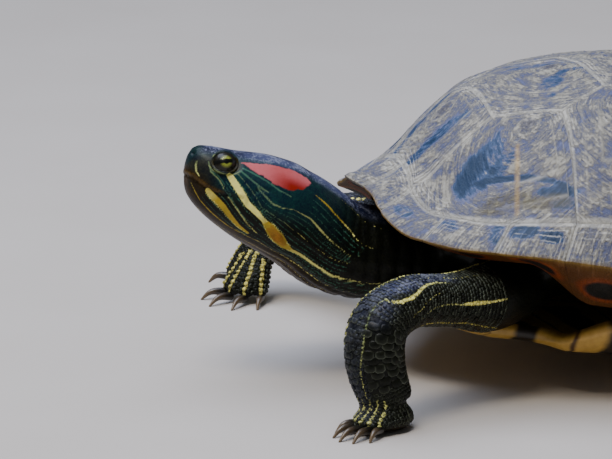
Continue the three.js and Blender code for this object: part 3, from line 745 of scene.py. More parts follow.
def fold_neck(points, normals):
    """Ear drum, and the slack skin of the neck, which creases more towards the shell."""
    s, angle, reach = nape(points)
    near = (reach < 24) & (s < NAPE.length)
    across = np.hypot(s - EAR_DRUM[0], np.radians(angle - EAR_DRUM[1]) * reach)
    drum = -0.32 * np.exp(-((across - EAR_DRUM[2]) / 0.7) ** 2)
    drum = drum - 0.15 * (1 - smoothstep(across, 2, EAR_DRUM[2]))
    slack = smoothstep(s, 38, 78) * (1 - smoothstep(s, 98, 103))
    waves = np.sin(s * 2 * pi / 5.2 + 0.045 * angle + 0.9 * np.sin(np.radians(angle) * 3 + s * 0.11))
    folds = -0.5 * slack * np.maximum(0, waves) ** 2 + 0.22 * slack
    cords = 0.16 * np.sin(np.radians(angle) * 26 + 0.3 * np.sin(s * 0.4))
    cords = cords * smoothstep(s, 24, 44) * smoothstep(-angle, 10, 40)
    amount = np.where(near, drum + folds + cords, 0)
    return points + normals * amount[:, None]


def on_floor(points):
    """Soles, knuckles and tail flattened where they rest."""
    low = 0.05 + 0.85 * smoothstep(points[:, 2], -1.2, 0.95)
    points[:, 2] = np.where(points[:, 2] < 0.9, low, points[:, 2])
    return points


def by_head_or_foreleg(points):
    """Where the head, the front of the neck and the standing foreleg are."""
    s, _, reach = nape(points)
    foreleg = LIMBS["foreleg_left"].path.at(np.linspace(0.35, 1, 60))
    return ((s < 62) & (reach < 24)) | (near_axis(points, foreleg, 16)[1] < 13.5)


def by_eyes(points, reach):
    left, right = (np.linalg.norm(points - eye_centre(side), axis=1) < reach for side, _ in SIDES)
    return left | right


def build_skin():
    """One closed skin: the forms run together, eased at the joins, with finer faces where it is seen most,
    then creased, sculpted and set on the floor."""
    body = joined(flesh_forms(), "skin")
    remesh = body.modifiers.new("one surface", "REMESH")
    remesh.mode, remesh.voxel_size = "VOXEL", VOXEL * MM
    bpy.ops.object.modifier_apply(modifier=remesh.name)
    mesh = body.data
    thin_out(body, hidden_in_shell(in_mm(mesh)), 0.03)

    points = in_mm(mesh)
    s, _, reach = nape(points)
    behind_head = np.exp(-((s - 44) / 9) ** 2) * (reach < 26)
    points = relaxed(points, neighbours(mesh), 3, 0.5)
    points = relaxed(points, neighbours(mesh), 14, 0.5 * behind_head)
    move_to(mesh, points)

    split_faces(body, by_head_or_foreleg(points))
    points = in_mm(mesh)
    points = relaxed(points, neighbours(mesh), 5, 0.5 * by_head_or_foreleg(points))
    move_to(mesh, points)
    split_faces(body, by_eyes(points, 8))
    points = in_mm(mesh)
    points = relaxed(points, neighbours(mesh), 4, 0.5 * by_eyes(points, 8.5))
    move_to(mesh, points)

    points = in_mm(mesh) - SKIN_DEPTH * vertex_normals(mesh)
    points = fold_neck(points, vertex_normals(mesh))
    points = sculpt_head(points)
    points = sculpt_eyes(points)
    move_to(mesh, on_floor(points))
    return body


# ---- Markings: the same functions colour the skin and the scales on it ----
# A line on head and neck is a list of (mm from the snout, degrees round, half its width, warmth), and
# warmth runs from 0, pale green, over 0.5, cream yellow, to 1, orange. They come on both sides.
HEAD_LINES = [
    # The thick line behind the eye, which swells to an orange patch under the ear.
    [(11.7, 19, 0.95, 0.45), (14, 11, 1.1, 0.45), (17.5, -1, 1.15, 0.45), (21.2, -12, 1.05, 0.45),
     (24.3, -16, 1.0, 0.48), (28, -22, 0.75, 0.55), (31, -27, 1.8, 0.88), (35, -35, 2.2, 0.92),
     (38.5, -41.5, 1.5, 0.88), (42, -45, 0.6, 0.6), (50, -44, 0.5, 0.5), (58, -39, 0.5, 0.42),
     (64, -33, 0.3, 0.36), (78, -25, 0.12, 0.34)],
    # The jaw's line.
    [(8.7, -28, 0.9, 0.6), (10.5, -31, 1.15, 0.6), (12.8, -33, 1.15, 0.68), (14.8, -35, 1.1, 0.78),
     (18.3, -42, 0.95, 0.85), (22.3, -48.5, 0.75, 0.85), (26, -50, 0.4, 0.8)],
    [(1.2, 30, 0.12, 0.2), (1.6, 14, 0.24, 0.24), (2.6, -4, 0.26, 0.28), (4, -12, 0.18, 0.35)],
    [(4, 32, 0.12, 0.15), (6.1, 12, 0.22, 0.16), (9.9, 3, 0.24, 0.2), (12.5, -8, 0.18, 0.24)],
    [(14.5, -16, 0.18, 0.25), (18.6, -25, 0.28, 0.26), (23.4, -36, 0.25, 0.3), (28.6, -43, 0.2, 0.5)],
    [(14.3, 32, 0.3, 0.08), (18, 24, 0.35, 0.1), (22.3, 17, 0.35, 0.12), (25.4, 14, 0.25, 0.15)],
    [(15.2, 36, 0.3, 0.03), (19.9, 31, 0.33, 0.05), (24.2, 26, 0.3, 0.08), (28.8, 20, 0.3, 0.1),
     (33.7, 18, 0.25, 0.12)],
    [(14.2, 25, 0.16, 0.15), (17.8, 15, 0.2, 0.15), (21.9, 4, 0.2, 0.14), (25.1, -7, 0.22, 0.13),
     (29.2, -10, 0.22, 0.13), (34.3, -13, 0.15, 0.15), (39.4, -19, 0.06, 0.4), (46.1, -26, 0.05, 0.48),
     (54.4, -23, 0.08, 0.5), (62, -13, 0.02, 0.5)],
    [(21.8, 15, 0.24, 0.13), (24.4, 9, 0.34, 0.14), (28.2, 2, 0.36, 0.16), (32, 2, 0.24, 0.2),
     (36, 5, 0.14, 0.24), (41.8, 2, 0.26, 0.27), (45.2, -4, 0.38, 0.3), (49.2, -7, 0.26, 0.3),
     (55, -6, 0.14, 0.3), (66, -2, 0.04, 0.3)],
    [(40.5, 32, 0.05, 0.95), (43.3, 28, 0.32, 0.9), (46.7, 23, 0.32, 0.85), (51.4, 20, 0.3, 0.6),
     (59.6, 17, 0.24, 0.42), (70, 14, 0.06, 0.42)],
    [(44, 50, 0.02, 0.4), (56, 47, 0.06, 0.5), (72, 42, 0.04, 0.5), (84, 40, 0.02, 0.5)],
    [(14, -84, 0.05, 0.6), (19, -79, 0.1, 0.6), (26, -72, 0.16, 0.66), (31.3, -69, 0.2, 0.62),
     (38.9, -72, 0.12, 0.6), (48, -74, 0.12, 0.58), (60, -75, 0.08, 0.55), (80, -72, 0.03, 0.5)],
    [(3.6, -50, 0.1, 0.6), (8.8, -58, 0.25, 0.7), (13.8, -61, 0.3, 0.74), (19.6, -62, 0.25, 0.74),
     (25.4, -58, 0.16, 0.66), (30.6, -54, 0.16, 0.6), (36.9, -59, 0.12, 0.58), (45.6, -61, 0.16, 0.55),
     (60, -58, 0.1, 0.5), (80, -52, 0.04, 0.5)],
    [(10, -90, 0.2, 0.6), (20, -90, 0.2, 0.6), (30, -90, 0.12, 0.6), (60, -90, 0.1, 0.55)],
]
# Hair-fine green lines fill the room between two bold ones: which two, how many, and from how far back.
FINE_BETWEEN = [
    (0, 1, 3, 0), (0, 7, 1, 0), (0, 7, 3, 26), (7, 8, 1, 0), (7, 8, 3, 34), (1, 12, 2, 0), (8, 9, 3, 0),
    (0, 12, 4, 27),
]


def lines_between(first, second, count, start):
    """Thin lines at even steps from one line to another."""
    first, second = np.array(first), np.array(second)
    run = np.linspace(max(first[0, 0], second[0, 0], start), min(first[-1, 0], second[-1, 0]), 12)
    low, high = np.interp(run, *first[:, :2].T), np.interp(run, *second[:, :2].T)
    turns = [low + (high - low) * step / (count + 1) for step in range(1, count + 1)]
    return [[(mm, turn, 0.16, 0.06) for mm, turn in zip(run, line)] for line in turns]


FINE_LINES = [
    line for first, second, count, start in FINE_BETWEEN
    for line in lines_between(HEAD_LINES[first], HEAD_LINES[second], count, start)
] + [
    [(5, 22, 0.15, 0.06), (8, 8, 0.15, 0.06), (11, -3, 0.15, 0.06), (14, -12, 0.15, 0.06)],
    [(7.5, 14, 0.15, 0.06), (10.5, 5, 0.15, 0.06), (13, -4, 0.15, 0.06), (16, -14, 0.15, 0.06)],
]
# The red patch behind the eye: mm from the snout, degrees round and half its width.
RED_PATCH = [
    (14.6, 45, 0.25, 0), (18, 43, 1.4, 0), (22, 41, 2.45, 0), (27.5, 38.5, 4, 0), (31.3, 38.5, 4.35, 0),
    (34.6, 40.5, 3.5, 0), (37, 42.5, 2, 0), (38.8, 45, 0.4, 0),
]
# Lines on the legs: share of the length, degrees round, half the width, warmth.
STANDING_LINES = [
    [(0.25, 92, 0.4, 0.4), (0.45, 96, 0.5, 0.45), (0.56, 104, 0.55, 0.42), (0.62, 118, 0.5, 0.36),
     (0.68, 146, 0.45, 0.36), (0.73, 166, 0.4, 0.34), (0.8, 172, 0.3, 0.3)],
    [(0.5, 40, 0.1, 0.3), (0.58, 44, 0.45, 0.38), (0.637, 43, 0.7, 0.44), (0.669, 53, 0.55, 0.4),
     (0.687, 69, 0.35, 0.34),
     (0.694, 90, 0.2, 0.25), (0.734, 109, 0.22, 0.18), (0.76, 108, 0.25, 0.2), (0.8, 111, 0.3, 0.24),
     (0.862, 123, 0.2, 0.3), (0.9, 125, 0.15, 0.34), (0.935, 130, 0.2, 0.42), (0.985, 132, 0.25, 0.46)],
    [(0.3, 8, 0.15, 0.36), (0.36, 0, 0.5, 0.54), (0.42, -4, 0.75, 0.56), (0.46, -3, 0.25, 0.36),
     (0.56, -8, 0.15, 0.3), (0.7, -10, 0.02, 0.3)],
    [(0.55, 18, 0.05, 0.5), (0.62, 12, 0.12, 0.5), (0.68, 14, 0.03, 0.4)],
    [(0.35, 55, 0.03, 0.5), (0.48, 58, 0.12, 0.5), (0.56, 62, 0.03, 0.5)],
    [(0.3, -50, 0.2, 0.6), (0.55, -52, 0.3, 0.6), (0.8, -40, 0.2, 0.55), (1, -30, 0.15, 0.5)],
    [(0.3, -100, 0.7, 0.6), (0.6, -105, 0.8, 0.6), (1, -100, 0.6, 0.5)],
    [(0.3, 205, 0.6, 0.5), (0.7, 215, 0.7, 0.5), (1, 210, 0.6, 0.45)],
]
PLAIN_LINES = [
    [(0.2, turn, 0.02, 0.5), (0.42, turn + swing, 0.2, 0.5), (0.7, turn + swing * 0.4, 0.55, 0.48),
     (1, turn, 0.5, 0.48)]
    for turn, swing in ((20, 8), (68, -7), (118, 6), (165, -8), (212, 6), (262, -9), (318, 8))
]


def along_lines(run, angle, reach, lines, scale=1.0):
    """For each point, how far it lies inside the nearest line, in mm (less than nothing outside), and that
    line's warmth. run and angle place the point, and scale turns the lines' own runs to mm."""
    inside, warmth = np.full(len(run), OFF), np.zeros(len(run))
    for line in lines:
        for (s0, a0, h0, w0), (s1, a1, h1, w1) in zip(line[:-1], line[1:]):
            ahead = (s1 - s0) * scale
            round_to = np.radians((angle - a0 + 180) % 360 - 180) * reach
            round_by = np.radians(a1 - a0) * reach
            gone = run - s0 * scale
            share = np.clip((gone * ahead + round_to * round_by) / (ahead ** 2 + round_by ** 2), 0, 1)
            off = np.hypot(gone - share * ahead, round_to - share * round_by)
            depth = h0 + share * (h1 - h0) - off
            warmth = np.where(depth > inside, w0 + share * (w1 - w0), warmth)
            inside = np.maximum(inside, depth)
    return inside, warmth


FREE = 1.25  # how many half widths from a form's middle a point may lie and still be its own


def head_markings(points, marks):
    """Colours head and neck, and gives how near each point lies to their middle."""
    s, angle, reach = nape(points)
    on_neck = (reach < 24) & (s < NAPE.length - 0.5)
    inside, warm = along_lines(s, angle, reach, HEAD_LINES + FINE_LINES)
    patch, _ = along_lines(s, angle, reach, [RED_PATCH])
    marks["stripe"] = np.where(on_neck, inside, marks["stripe"])
    marks["warmth"] = np.where(on_neck, warm, marks["warmth"])
    marks["red"] = np.where(on_neck, patch, marks["red"])
    marks["ember"] = smoothstep(s, 23, 33) * (1 - smoothstep(angle, 30, 46))
    # A pale violet on top is a painted sky reflection on the wet skin, fading back along the neck. Blue-green
    # on the cheeks, and brown under the throat and round the snout.
    sheen_lilac = 0.3 + 0.7 * (1 - smoothstep(s, 44, 74))
    marks["sky_sheen"] = on_neck * smoothstep(angle, 46, 62) * sheen_lilac * smoothstep(s, 0.4, 2.5)
    cheek_share = 0.6 + 0.4 * smoothstep(s, 4, 12)
    marks["teal"] = on_neck * smoothstep(angle, -24, 6) * (1 - smoothstep(s, 30, 62)) * cheek_share
    throat_share = on_neck * smoothstep(-angle, 48, 76) * (1 - smoothstep(s, 50, 80) * 0.7)
    snout_share = 0.45 * on_neck * (1 - smoothstep(s, 5, 12)) * (1 - smoothstep(angle, 25, 55))
    marks["ochre"] = np.maximum(throat_share, snout_share)
    u, _, w = in_head(points)
    above = w - mouth_level(u)
    horn = smoothstep(above, -0.1, 0.25) * (1 - smoothstep(above, 0.8, 1.6)) * (1 - smoothstep(u, 9, 13))
    marks["beak"] = on_neck * (u < 16) * horn
    marks["grain"] = np.where(on_neck, 0.15 + 0.85 * smoothstep(s, 34, 60), marks["grain"])
    return np.where(on_neck, np.minimum(FREE, reach / 17), FREE)


def lid_markings(points, marks):
    """Olive lids, and the pale green line that runs round them, fainter at the upper rear."""
    for side, _ in SIDES:
        gaze, back, up = eye_axes(side)
        offset = points - eye_centre(side)
        ring = np.hypot(offset @ back / LID_RIM[0], offset @ up / LID_RIM[1])
        facing = offset @ gaze > 0
        marks["lid"] = np.maximum(marks["lid"], facing * (1 - smoothstep(ring, 0.98, 1.1)))
        fade = 0.9 * smoothstep(offset @ up + 0.5 * offset @ back, 0.5, 2.5)
        fold = 0.2 - np.abs(ring - 1.2) * 3.2 - fade
        lighter = facing & (fold > marks["stripe"])
        marks["stripe"] = np.where(lighter, fold, marks["stripe"])
        marks["warmth"] = np.where(lighter, 0.2, marks["warmth"])
    marks["stripe"] = np.where(marks["lid"] > 0.5, -3, marks["stripe"])


def forearm_sheen(share, turn):
    """A band of painted sky reflection, blue, on the standing foreleg, which turns outwards at the elbow,
    with a spot beside it.
    """
    bend = smoothstep(share, 0.6, 0.74)
    low, high = 46 + 68 * bend, 100 + 72 * bend
    band = smoothstep(turn, low - 6, low + 6) * (1 - smoothstep(turn, high - 6, high + 6))
    blue = band * smoothstep(share, 0.42, 0.56) * (0.72 - 0.58 * smoothstep(share, 0.64, 0.76))
    spot = 0.4 * np.exp(-np.hypot((share - 0.71) / 0.035, (turn - 82) / 24) ** 2)
    return np.maximum(blue, spot)


def limb_markings(points, marks, nearest):
    """Colours legs and tail. A point takes the limb whose middle is nearest, in its own half widths."""
    for name, limb in [*LIMBS.items(), ("tail", TAIL)]:
        standing = name == "foreleg_left"
        shares = np.linspace(0, 1, 160)
        axis = limb.path.at(shares)
        at, far = near_axis(points, axis, 22)
        share = far / np.maximum(limb.width(shares[at]), 1)
        mine = (share < nearest + 0.15) & (share < 1.7) & (shares[at] > 0.24)
        _, across, deep = limb.frame(shares[at])
        offset = points - axis[at]
        turn = np.degrees(np.arctan2((offset * deep).sum(1), (offset * across).sum(1)))
        lines = STANDING_LINES if standing else PLAIN_LINES
        inside, warm = along_lines(shares[at] * limb.path.length, turn, far, lines, limb.path.length)
        upper = unit(offset)[:, 2]
        # Painted sky reflection: blue on the upward faces of the other legs and the tail.
        upper_sheen = 0.45 * np.clip(upper, 0, 1) * smoothstep(shares[at], 0.3, 0.6)
        for key, value in (
            ("stripe", inside), ("warmth", warm), ("red", OFF), ("teal", 0.0), ("grain", 1),
            ("sky_sheen", forearm_sheen(shares[at], turn) if standing else upper_sheen),
            ("ochre", 0.55 * smoothstep(-upper, 0.25, 0.8)),
        ):
            marks[key] = np.where(mine, value, marks[key])
        nearest = np.where(mine, share, nearest)


def toe_markings(points, marks):
    """A row of yellow scales along the top of each toe, and up over the palm."""
    for name, leg in LEGS.items():
        standing = name == "foreleg_left"
        for toe in toes_of(leg):
            axis = np.linspace(toe["start"] - 7 * toe["way"], toe["tip"], 32)
            at, far = near_axis(points[:, :2], axis[:, :2], 4)
            above = points[:, 2] - axis[at][:, 2]
            mine = (far < 1.7) & (above > -1) & (above < 9)
            bead = np.minimum((0.3 if standing else 0.7) - far, 0.1)
            marks["stripe"] = np.where(mine, bead, marks["stripe"])
            marks["warmth"] = np.where(mine, 0.34 if standing else 0.56, marks["warmth"])


def markings(points):
    """What the skin and the scales are coloured by, at points in mm. stripe and red say how far a point is
    inside a line or the red patch, in mm, and the rest are shares."""
    marks = {
        key: np.full(len(points), value)
        for key, value in dict(stripe=OFF, warmth=0.0, red=OFF, ember=0.0, sky_sheen=0.0, teal=0.0, ochre=0.0,
                               beak=0.0, grain=1.0, lid=0.0).items()
    }
    nearest = head_markings(points, marks)
    lid_markings(points, marks)
    limb_markings(points, marks, nearest)
    toe_markings(points, marks)
    return marks


# ---- Carapace ----
SEAM = 0.08  # between two scutes
PLATE_THICKNESS = 3.2
# Corners of the seams between scutes, in plan, as (x, forward).
SPINE_LINE = [(14, 108), (19, 92), (20, 72), (32, 52.5), (22, 35), (31, 15), (23, -5), (28, -26), (18, -46),
              (34, -76), (44, -96)]
COSTAL_LOW = [(75, 57), (84, 8), (84, -42)]
VERTEBRALS = {1: (0, 2), 2: (2, 4), 3: (4, 6), 4: (6, 8), 5: (8, 10)}  # corners on SPINE_LINE, front to rear
COSTALS = {1: (0, 3), 2: (3, 5), 3: (5, 7), 4: (7, 10)}
# Where the marginal scutes meet, in degrees from the front.
MARGINAL_TURNS = [3.2, 12, 26.5, 43, 55.8, 69, 83.5, 98, 113, 128.5, 144, 161, 179.94]


def ring_point(turn):
    """Where the marginal scutes end, in plan."""
    rim = rim_point(turn)
    share = 1 - marginal_depth(degrees_from_front(turn)) / np.hypot(rim[..., 0], rim[..., 1])
    return np.stack([rim[..., 0] * share, -rim[..., 1] * share], -1)


def ring_crossing(inner, outer):
    """The turn on which the way from one plan point to another crosses the marginals' ring."""
    for _ in range(40):
        middle = (np.array(inner, float) + outer) / 2
        ring = ring_point(turn_at(*middle))
        if hypot(*middle) < hypot(*ring):
            inner = middle
        else:
            outer = middle
    return float(turn_at(*inner))


FRONT_TURN = ring_crossing(SPINE_LINE[1], SPINE_LINE[0])
REAR_TURN = ring_crossing(SPINE_LINE[-2], SPINE_LINE[-1])


def on_ring(start, end, steps=40):
    return ring_point(np.linspace(start, end, steps))


def vertebral_outline(number):
    first, last = VERTEBRALS[number]
    right = [np.array(SPINE_LINE[i], float) for i in range(first, last + 1)]
    if number == 1:
        right[0] = ring_point(np.array(FRONT_TURN))
    if number == 5:
        right[-1] = ring_point(np.array(REAR_TURN))
    left = [point * (-1, 1) for point in right[::-1]]
    front = list(on_ring(-FRONT_TURN, FRONT_TURN, 16)[1:-1]) if number == 1 else []
    rear = list(on_ring(REAR_TURN, 2 * pi - REAR_TURN, 40)[1:-1]) if number == 5 else []
    return np.array(front + right + rear + left)


def costal_outline(number, side):
    first, last = COSTALS[number]
    inner = [np.array(SPINE_LINE[i], float) for i in range(first, last + 1)]
    start, end = FRONT_TURN, REAR_TURN
    if number == 1:
        inner[0] = ring_point(np.array(FRONT_TURN))
    else:
        start = ring_crossing(inner[0], np.array(COSTAL_LOW[number - 2]) * 1.2 - np.array(inner[0]) * 0.2)
    if number == 4:
        inner[-1] = ring_point(np.array(REAR_TURN))
    else:
        end = ring_crossing(inner[-1], np.array(COSTAL_LOW[number - 1]) * 1.2 - np.array(inner[-1]) * 0.2)
    outline = np.array(inner + list(on_ring(end, start, 50)))
    return outline * (side, 1)


def even_outline(outline, count):
    """The outline again, with its points spread evenly and its corners kept."""
    closed = np.vstack([outline, outline[:1]])
    run = np.r_[0, np.cumsum(np.linalg.norm(np.diff(closed, axis=0), axis=1))]
    at = np.linspace(0, run[-1], count, endpoint=False)
    points = np.stack([np.interp(at, run, closed[:, k]) for k in range(2)], -1)
    points[np.rint(run[:-1] / run[-1] * count).astype(int) % count] = outline
    return points


AROUND = 200  # points round a plate on the dome
RINGS = 84  # from its middle to its edge and beneath
GROWTH_STEP = 1.9  # mm between growth ridges
# Where the silt has worn off and bare horn shows, painted deep blue for the sky it reflects, on the left and
# mirrored on the right: x and forward of a patch's middle, half its length, half its width, and degrees
# from straight ahead. Where two lie over one another, the blue is deeper. The olive ones are tinted olive
# green: the two on the first costal scutes are a band of painted reflection, the others algal stains.
CLEAN_PATCHES = [
    (33, 77.5, 9, 4.6, 32), (31, 81.5, 6, 3.4, 30), (29.5, 83, 4, 3, 20), (38.5, 74, 6, 2.6, 10),
    (57, 60, 7.5, 1.7, -30), (61, 59, 5, 1.2, -30), (9, 86, 14, 2, -14), (11, 49, 7, 3, 40),
    (5, 40, 6, 1.4, 12), (20, 50, 5, 1.4, 30), (56, 79, 2.4, 3, 20), (60.5, 71.5, 5, 2.2, -28),
    (66, 64, 4, 1.6, -30), (46.3, 69.5, 17, 0.8, -42), (46.3, 69.5, 15, 0.6, -42),
    (60.5, 71.5, 4.5, 1.8, -28), (66, 64, 3.5, 1.3, -30), (57, 60, 6.5, 1.2, -30), (50, 28, 9, 4, 70),
    (66, 12, 8, 2.6, 10),
    (46, -10, 8, 5, 20), (70, -30, 7, 3, 0), (36, -58, 8, 5, 60), (10, 8, 8, 3, 20), (14, -30, 9, 3.4, -15),
    (12, -70, 9, 4, 30), (52, -66, 6, 3, -30), (42, 91, 4.5, 2, -55), (26, 101, 4, 2, -60), (78, 20, 3, 6, 0),
    (79, -26, 3, 5, 0), (62, -84, 5, 3, 30),
]
# The first two olive patches are a band of painted reflection across the first costal scutes; the other two
# are algal stains.
OLIVE_PATCHES = [(49, 75, 9, 2.6, -33), (58, 63, 8, 1.7, -30), (62, -8, 9, 5, 0), (40, -72, 9, 4, 30)]


def in_patches(x, forward, patches):
    """How far inside the patches a plan point is: 1 well inside one, 2 inside two, 0 outside."""
    inside = np.zeros(len(x))
    for middle_x, middle_forward, length, width, turned in patches:
        c, s = cos(radians(turned)), sin(radians(turned))
        ahead, aside = forward - middle_forward, np.abs(x) - middle_x
        off = np.hypot((ahead * c + aside * s) / length, (aside * c - ahead * s) / width)
        inside = inside + smoothstep(off, 1.35, 0.65)
    return inside


def ridges(out, bearing, phase):
    """Growth ridges at a distance out from where a scute began: they waver, fade and come back."""
    waver = 0.35 * np.sin(3 * bearing + phase) + 0.22 * np.sin(7 * bearing + 2 * phase)
    waver = waver + 0.12 * np.sin(17 * bearing)
    step = (out / GROWTH_STEP + waver) * 2 * pi
    strength = 0.55 + 0.45 * np.sin(2 * bearing + 0.35 * out + 3 * phase)
    return strength * (np.sin(step) + 0.35 * np.sin(2.3 * step + phase))


def dome_plate(name, outline, areola, phase, keel=0.0):
    """A horny plate on the dome. It has grown outwards from its areola, ring by ring, so it is laid out in
    rings of its own outline about that point."""
    edge = even_outline(outline, AROUND)
    areola = np.array(areola, float)
    rows = np.r_[np.linspace(0, 1, RINGS - 2) ** 0.9, 0.99, 0.6, 0]
    values = {}

    def place(turn, along):
        ring = np.rint(along * RINGS).astype(int)
        share = rows[ring]
        i = np.rint(turn / (2 * pi) * AROUND).astype(int) % AROUND
        reach = edge[i] - areola
        size = np.linalg.norm(reach, axis=1)
        inside = size * (1 - share)
        out = size * share
        bearing = np.arctan2(*reach.T)
        trimmed = np.minimum(share, 1 - SEAM / 2 / size)
        x, forward = (areola + reach * trimmed[:, None]).T
        boss = smoothstep(out, 3.1, 1.3)
        z = dome_height(x, forward) + 0.3 * boss + 0.22 * np.exp(-((out - 2.6) / 0.5) ** 2)
        z += 0.5 * smoothstep(inside, 1, 9) - 0.5 * np.exp(-(inside / 0.55) ** 2)
        z += 0.14 * ridges(out, bearing, phase) * (1 - boss) * smoothstep(inside, 0.4, 1.2)
        step = share + 0.03 * np.sin(3 * bearing + phase)
        ridge = np.exp(-((step - 0.6) / 0.022) ** 2) + 0.7 * np.exp(-((step - 0.82) / 0.015) ** 2)
        ridge = ridge * smoothstep(np.sin(bearing * 2 + phase * 3), -0.7, 0.5)
        ridge = ridge + np.exp(-((out - 3.5) / 0.4) ** 2)
        z += 0.22 * ridge - 0.25 * smoothstep(step, 0.62, 0.58)
        z += keel * np.exp(-(x / 5.0) ** 2) * smoothstep(inside, 0, 5)
        below = ring > RINGS - 3
        deep = PLATE_THICKNESS * np.where(ring == RINGS - 2, 0.9, 1)
        z = np.where(below, dome_height(x, forward) - deep, z)
        values.update(
            inside=np.where(below, 0, inside), bearing=bearing, out=out,
            bar=bar_on(name, x, forward, areola), clean=in_patches(x, forward, CLEAN_PATCHES),
            olive=in_patches(x, forward, OLIVE_PATCHES), boss=boss, ridge=ridge, under=below * 1.0,
            rim=np.zeros(len(x)), spot=np.full(len(x), OFF),
        )
        return from_shell(np.column_stack([x, -forward, z]))

    piece = moulded(name, AROUND, RINGS, place)
    give(piece.data, **values)
    return piece


# The pale bar that runs down each costal scute: its two ends, as (x, forward).
COSTAL_BARS = {
    1: [(37, 68.6), (55.5, 72.7)],
    2: [(45, 30), (74, 28)],
    3: [(45, -12), (74, -15)],
    4: [(40, -56), (60, -68)],
}


def bar_on(name, x, forward, areola):
    """How far, in mm, a point is inside the bar of its costal scute."""
    if not name.startswith("costal"):
        return np.full(len(x), OFF)
    start, end = (np.array(spot, float) * (np.sign(areola[0]), 1) for spot in COSTAL_BARS[int(name[-1])])
    way = unit(end - start)
    gone = (x - start[0]) * way[0] + (forward - start[1]) * way[1]
    aside = np.abs((x - start[0]) * way[1] - (forward - start[1]) * way[0])
    length = np.linalg.norm(end - start)
    return 0.6 - aside - 3 * smoothstep(-gone, 0, 3) - 3 * smoothstep(gone, length - 1, length + 2)


MARGIN_AROUND = 88  # points round a marginal scute's section
MARGIN_ROWS = 60  # sections along it
EDGE_HEIGHT = 0.8  # how thick a marginal scute is at the rim
# Where the parts of its section end, on the way from the ring over the top to the rim, round the edge,
# back beneath and up inside.
TOP_END, EDGE_END, BACK_END = 0.55, 0.6, 0.88


def margin_plate(name, first, last, side, peak=0.0):
    """A marginal scute: a strip bent round the rim between two turns. Its upper face falls from the dome to
    the sharp rim, and its lower one goes back beneath. peak draws the middle of its rim forward."""
    first, last = radians(first), radians(last)
    length = (last - first) * 95  # in mm, at the rim's mean radius
    values = {}

    def place(turn, along):
        cap = np.clip(along * MARGIN_ROWS, 0, 1) * np.clip((1 - along) * MARGIN_ROWS, 0, 1)
        share = np.clip((along * MARGIN_ROWS - 1) / (MARGIN_ROWS - 2), 0, 1)
        trim = SEAM / 2 / 90  # half a seam, as a turn
        whole = (first + trim + (last - first - 2 * trim) * share) * side
        angle = degrees_from_front(whole)
        depth = marginal_depth(angle) - SEAM / 2
        span = bridge(whole)
        rim = rim_point(whole)
        radius = np.hypot(rim[:, 0], rim[:, 1])
        to_end = np.minimum(share, 1 - share) * length
        q = turn / (2 * pi)  # the share of the way round the section
        over = np.clip(q / TOP_END, 0, 1)
        edge_way = np.clip((q - TOP_END) / 0.05, 0, 1)
        back_way = np.clip((q - EDGE_END) / 0.28, 0, 1)
        inner_way = np.clip((q - BACK_END) / 0.12, 0, 1)
        on_top = q <= TOP_END
        middle = 1 - np.abs(2 * share - 1)
        lip_in, lip_low = 12.2 + 4 * span, 4.6 + 12.6 * span - 3.2 * np.exp(-(angle / 14) ** 2)
        inward = np.where(on_top, depth * (1 - over), 0.35 * edge_way + (lip_in - 0.35) * back_way)
        inward = np.where(q > BACK_END, lip_in + (depth - lip_in) * inner_way, inward)
        z_top = dome_point(whole, 1 - depth * (1 - over) / radius)[:, 2]
        fall = EDGE_HEIGHT * edge_way + (lip_low - EDGE_HEIGHT) * back_way ** (1.15 - 0.35 * span)
        z_in = dome_point(whole, 1 - depth / radius)[:, 2] - PLATE_THICKNESS
        z = np.where(on_top, z_top, rim[:, 2] - fall)
        z = np.where(q > BACK_END, rim[:, 2] - lip_low + (z_in - rim[:, 2] + lip_low) * inner_way, z)
        outer = 1 - np.clip(inward / depth, 0, 1)
        from_ring = np.where(on_top, depth * over, 9)
        inside = np.minimum(to_end, from_ring)
        # Growth rings bend round the corner that lies to the rear, on the rim.
        out = np.hypot((1 - share) * length, np.where(on_top, inward, 0)) * 0.9
        bearing = np.arctan2(inward + 0.01, (1 - share) * length + 0.01)
        relief = 0.1 * ridges(out, bearing * 2, first * 7) * smoothstep(inside, 0.4, 1.2)
        relief = relief - 0.45 * np.exp(-(inside / 0.55) ** 2)
        z += np.where(on_top & (q < 0.53), relief + 0.35 * smoothstep(inside, 0.5, 4), 0)
        serrate = smoothstep(angle, 118, 150) * (1 - np.exp(-(to_end / 3) ** 2)) * 1.5
        drawn_in = 0 if peak else 1.8 * np.exp(-((angle - 7) / 5) ** 2)
        scallop = 0.5 * (1 - np.exp(-(to_end / 1.5) ** 2))
        reach_out = (scallop + serrate * share ** 2 + peak * (middle - 0.25) - drawn_in) * outer
        z += (0.3 * peak * middle - 0.35 * span * np.exp(-(to_end / 1.2) ** 2) * (q < 0.62)) * outer
        points = np.column_stack([rim[:, :2] * (1 - (inward - reach_out) / radius)[:, None], z])
        core = np.column_stack([rim[:, :2] * (1 - depth * 0.5 / radius)[:, None],
                                dome_point(whole, 1 - depth * 0.5 / radius)[:, 2] - 2.2])
        points = core + (points - core) * cap[:, None]
        x, forward = points[:, 0], -points[:, 1]
        values.update(
            inside=inside, bearing=bearing, out=out, bar=np.full(len(q), OFF), boss=np.zeros(len(q)),
            clean=in_patches(x, forward, CLEAN_PATCHES), olive=in_patches(x, forward, OLIVE_PATCHES),
            ridge=np.zeros(len(q)), under=smoothstep(q, 0.56 + 0.04 * (peak > 0), 0.6 + 0.06 * (peak > 0)),
            rim=np.exp(-((q - 0.57) / 0.03) ** 2) * (0.25 if peak else 1),
            spot=4.6 - np.hypot((share - 0.5) * length * 0.62, (back_way - 0.5) * lip_in),
        )
        return from_shell(points)

    piece = moulded(name, MARGIN_AROUND, MARGIN_ROWS, place)
    give(piece.data, **values)
    return piece


# Where each scute began to grow, as (x, forward).
AREOLAE = {
    "vertebral": [(0, 82), (0, 46), (0, 8), (0, -32), (0, -66)],
    "costal": [(32.5, 64), (40, 28), (40, -14), (37, -52)],
}


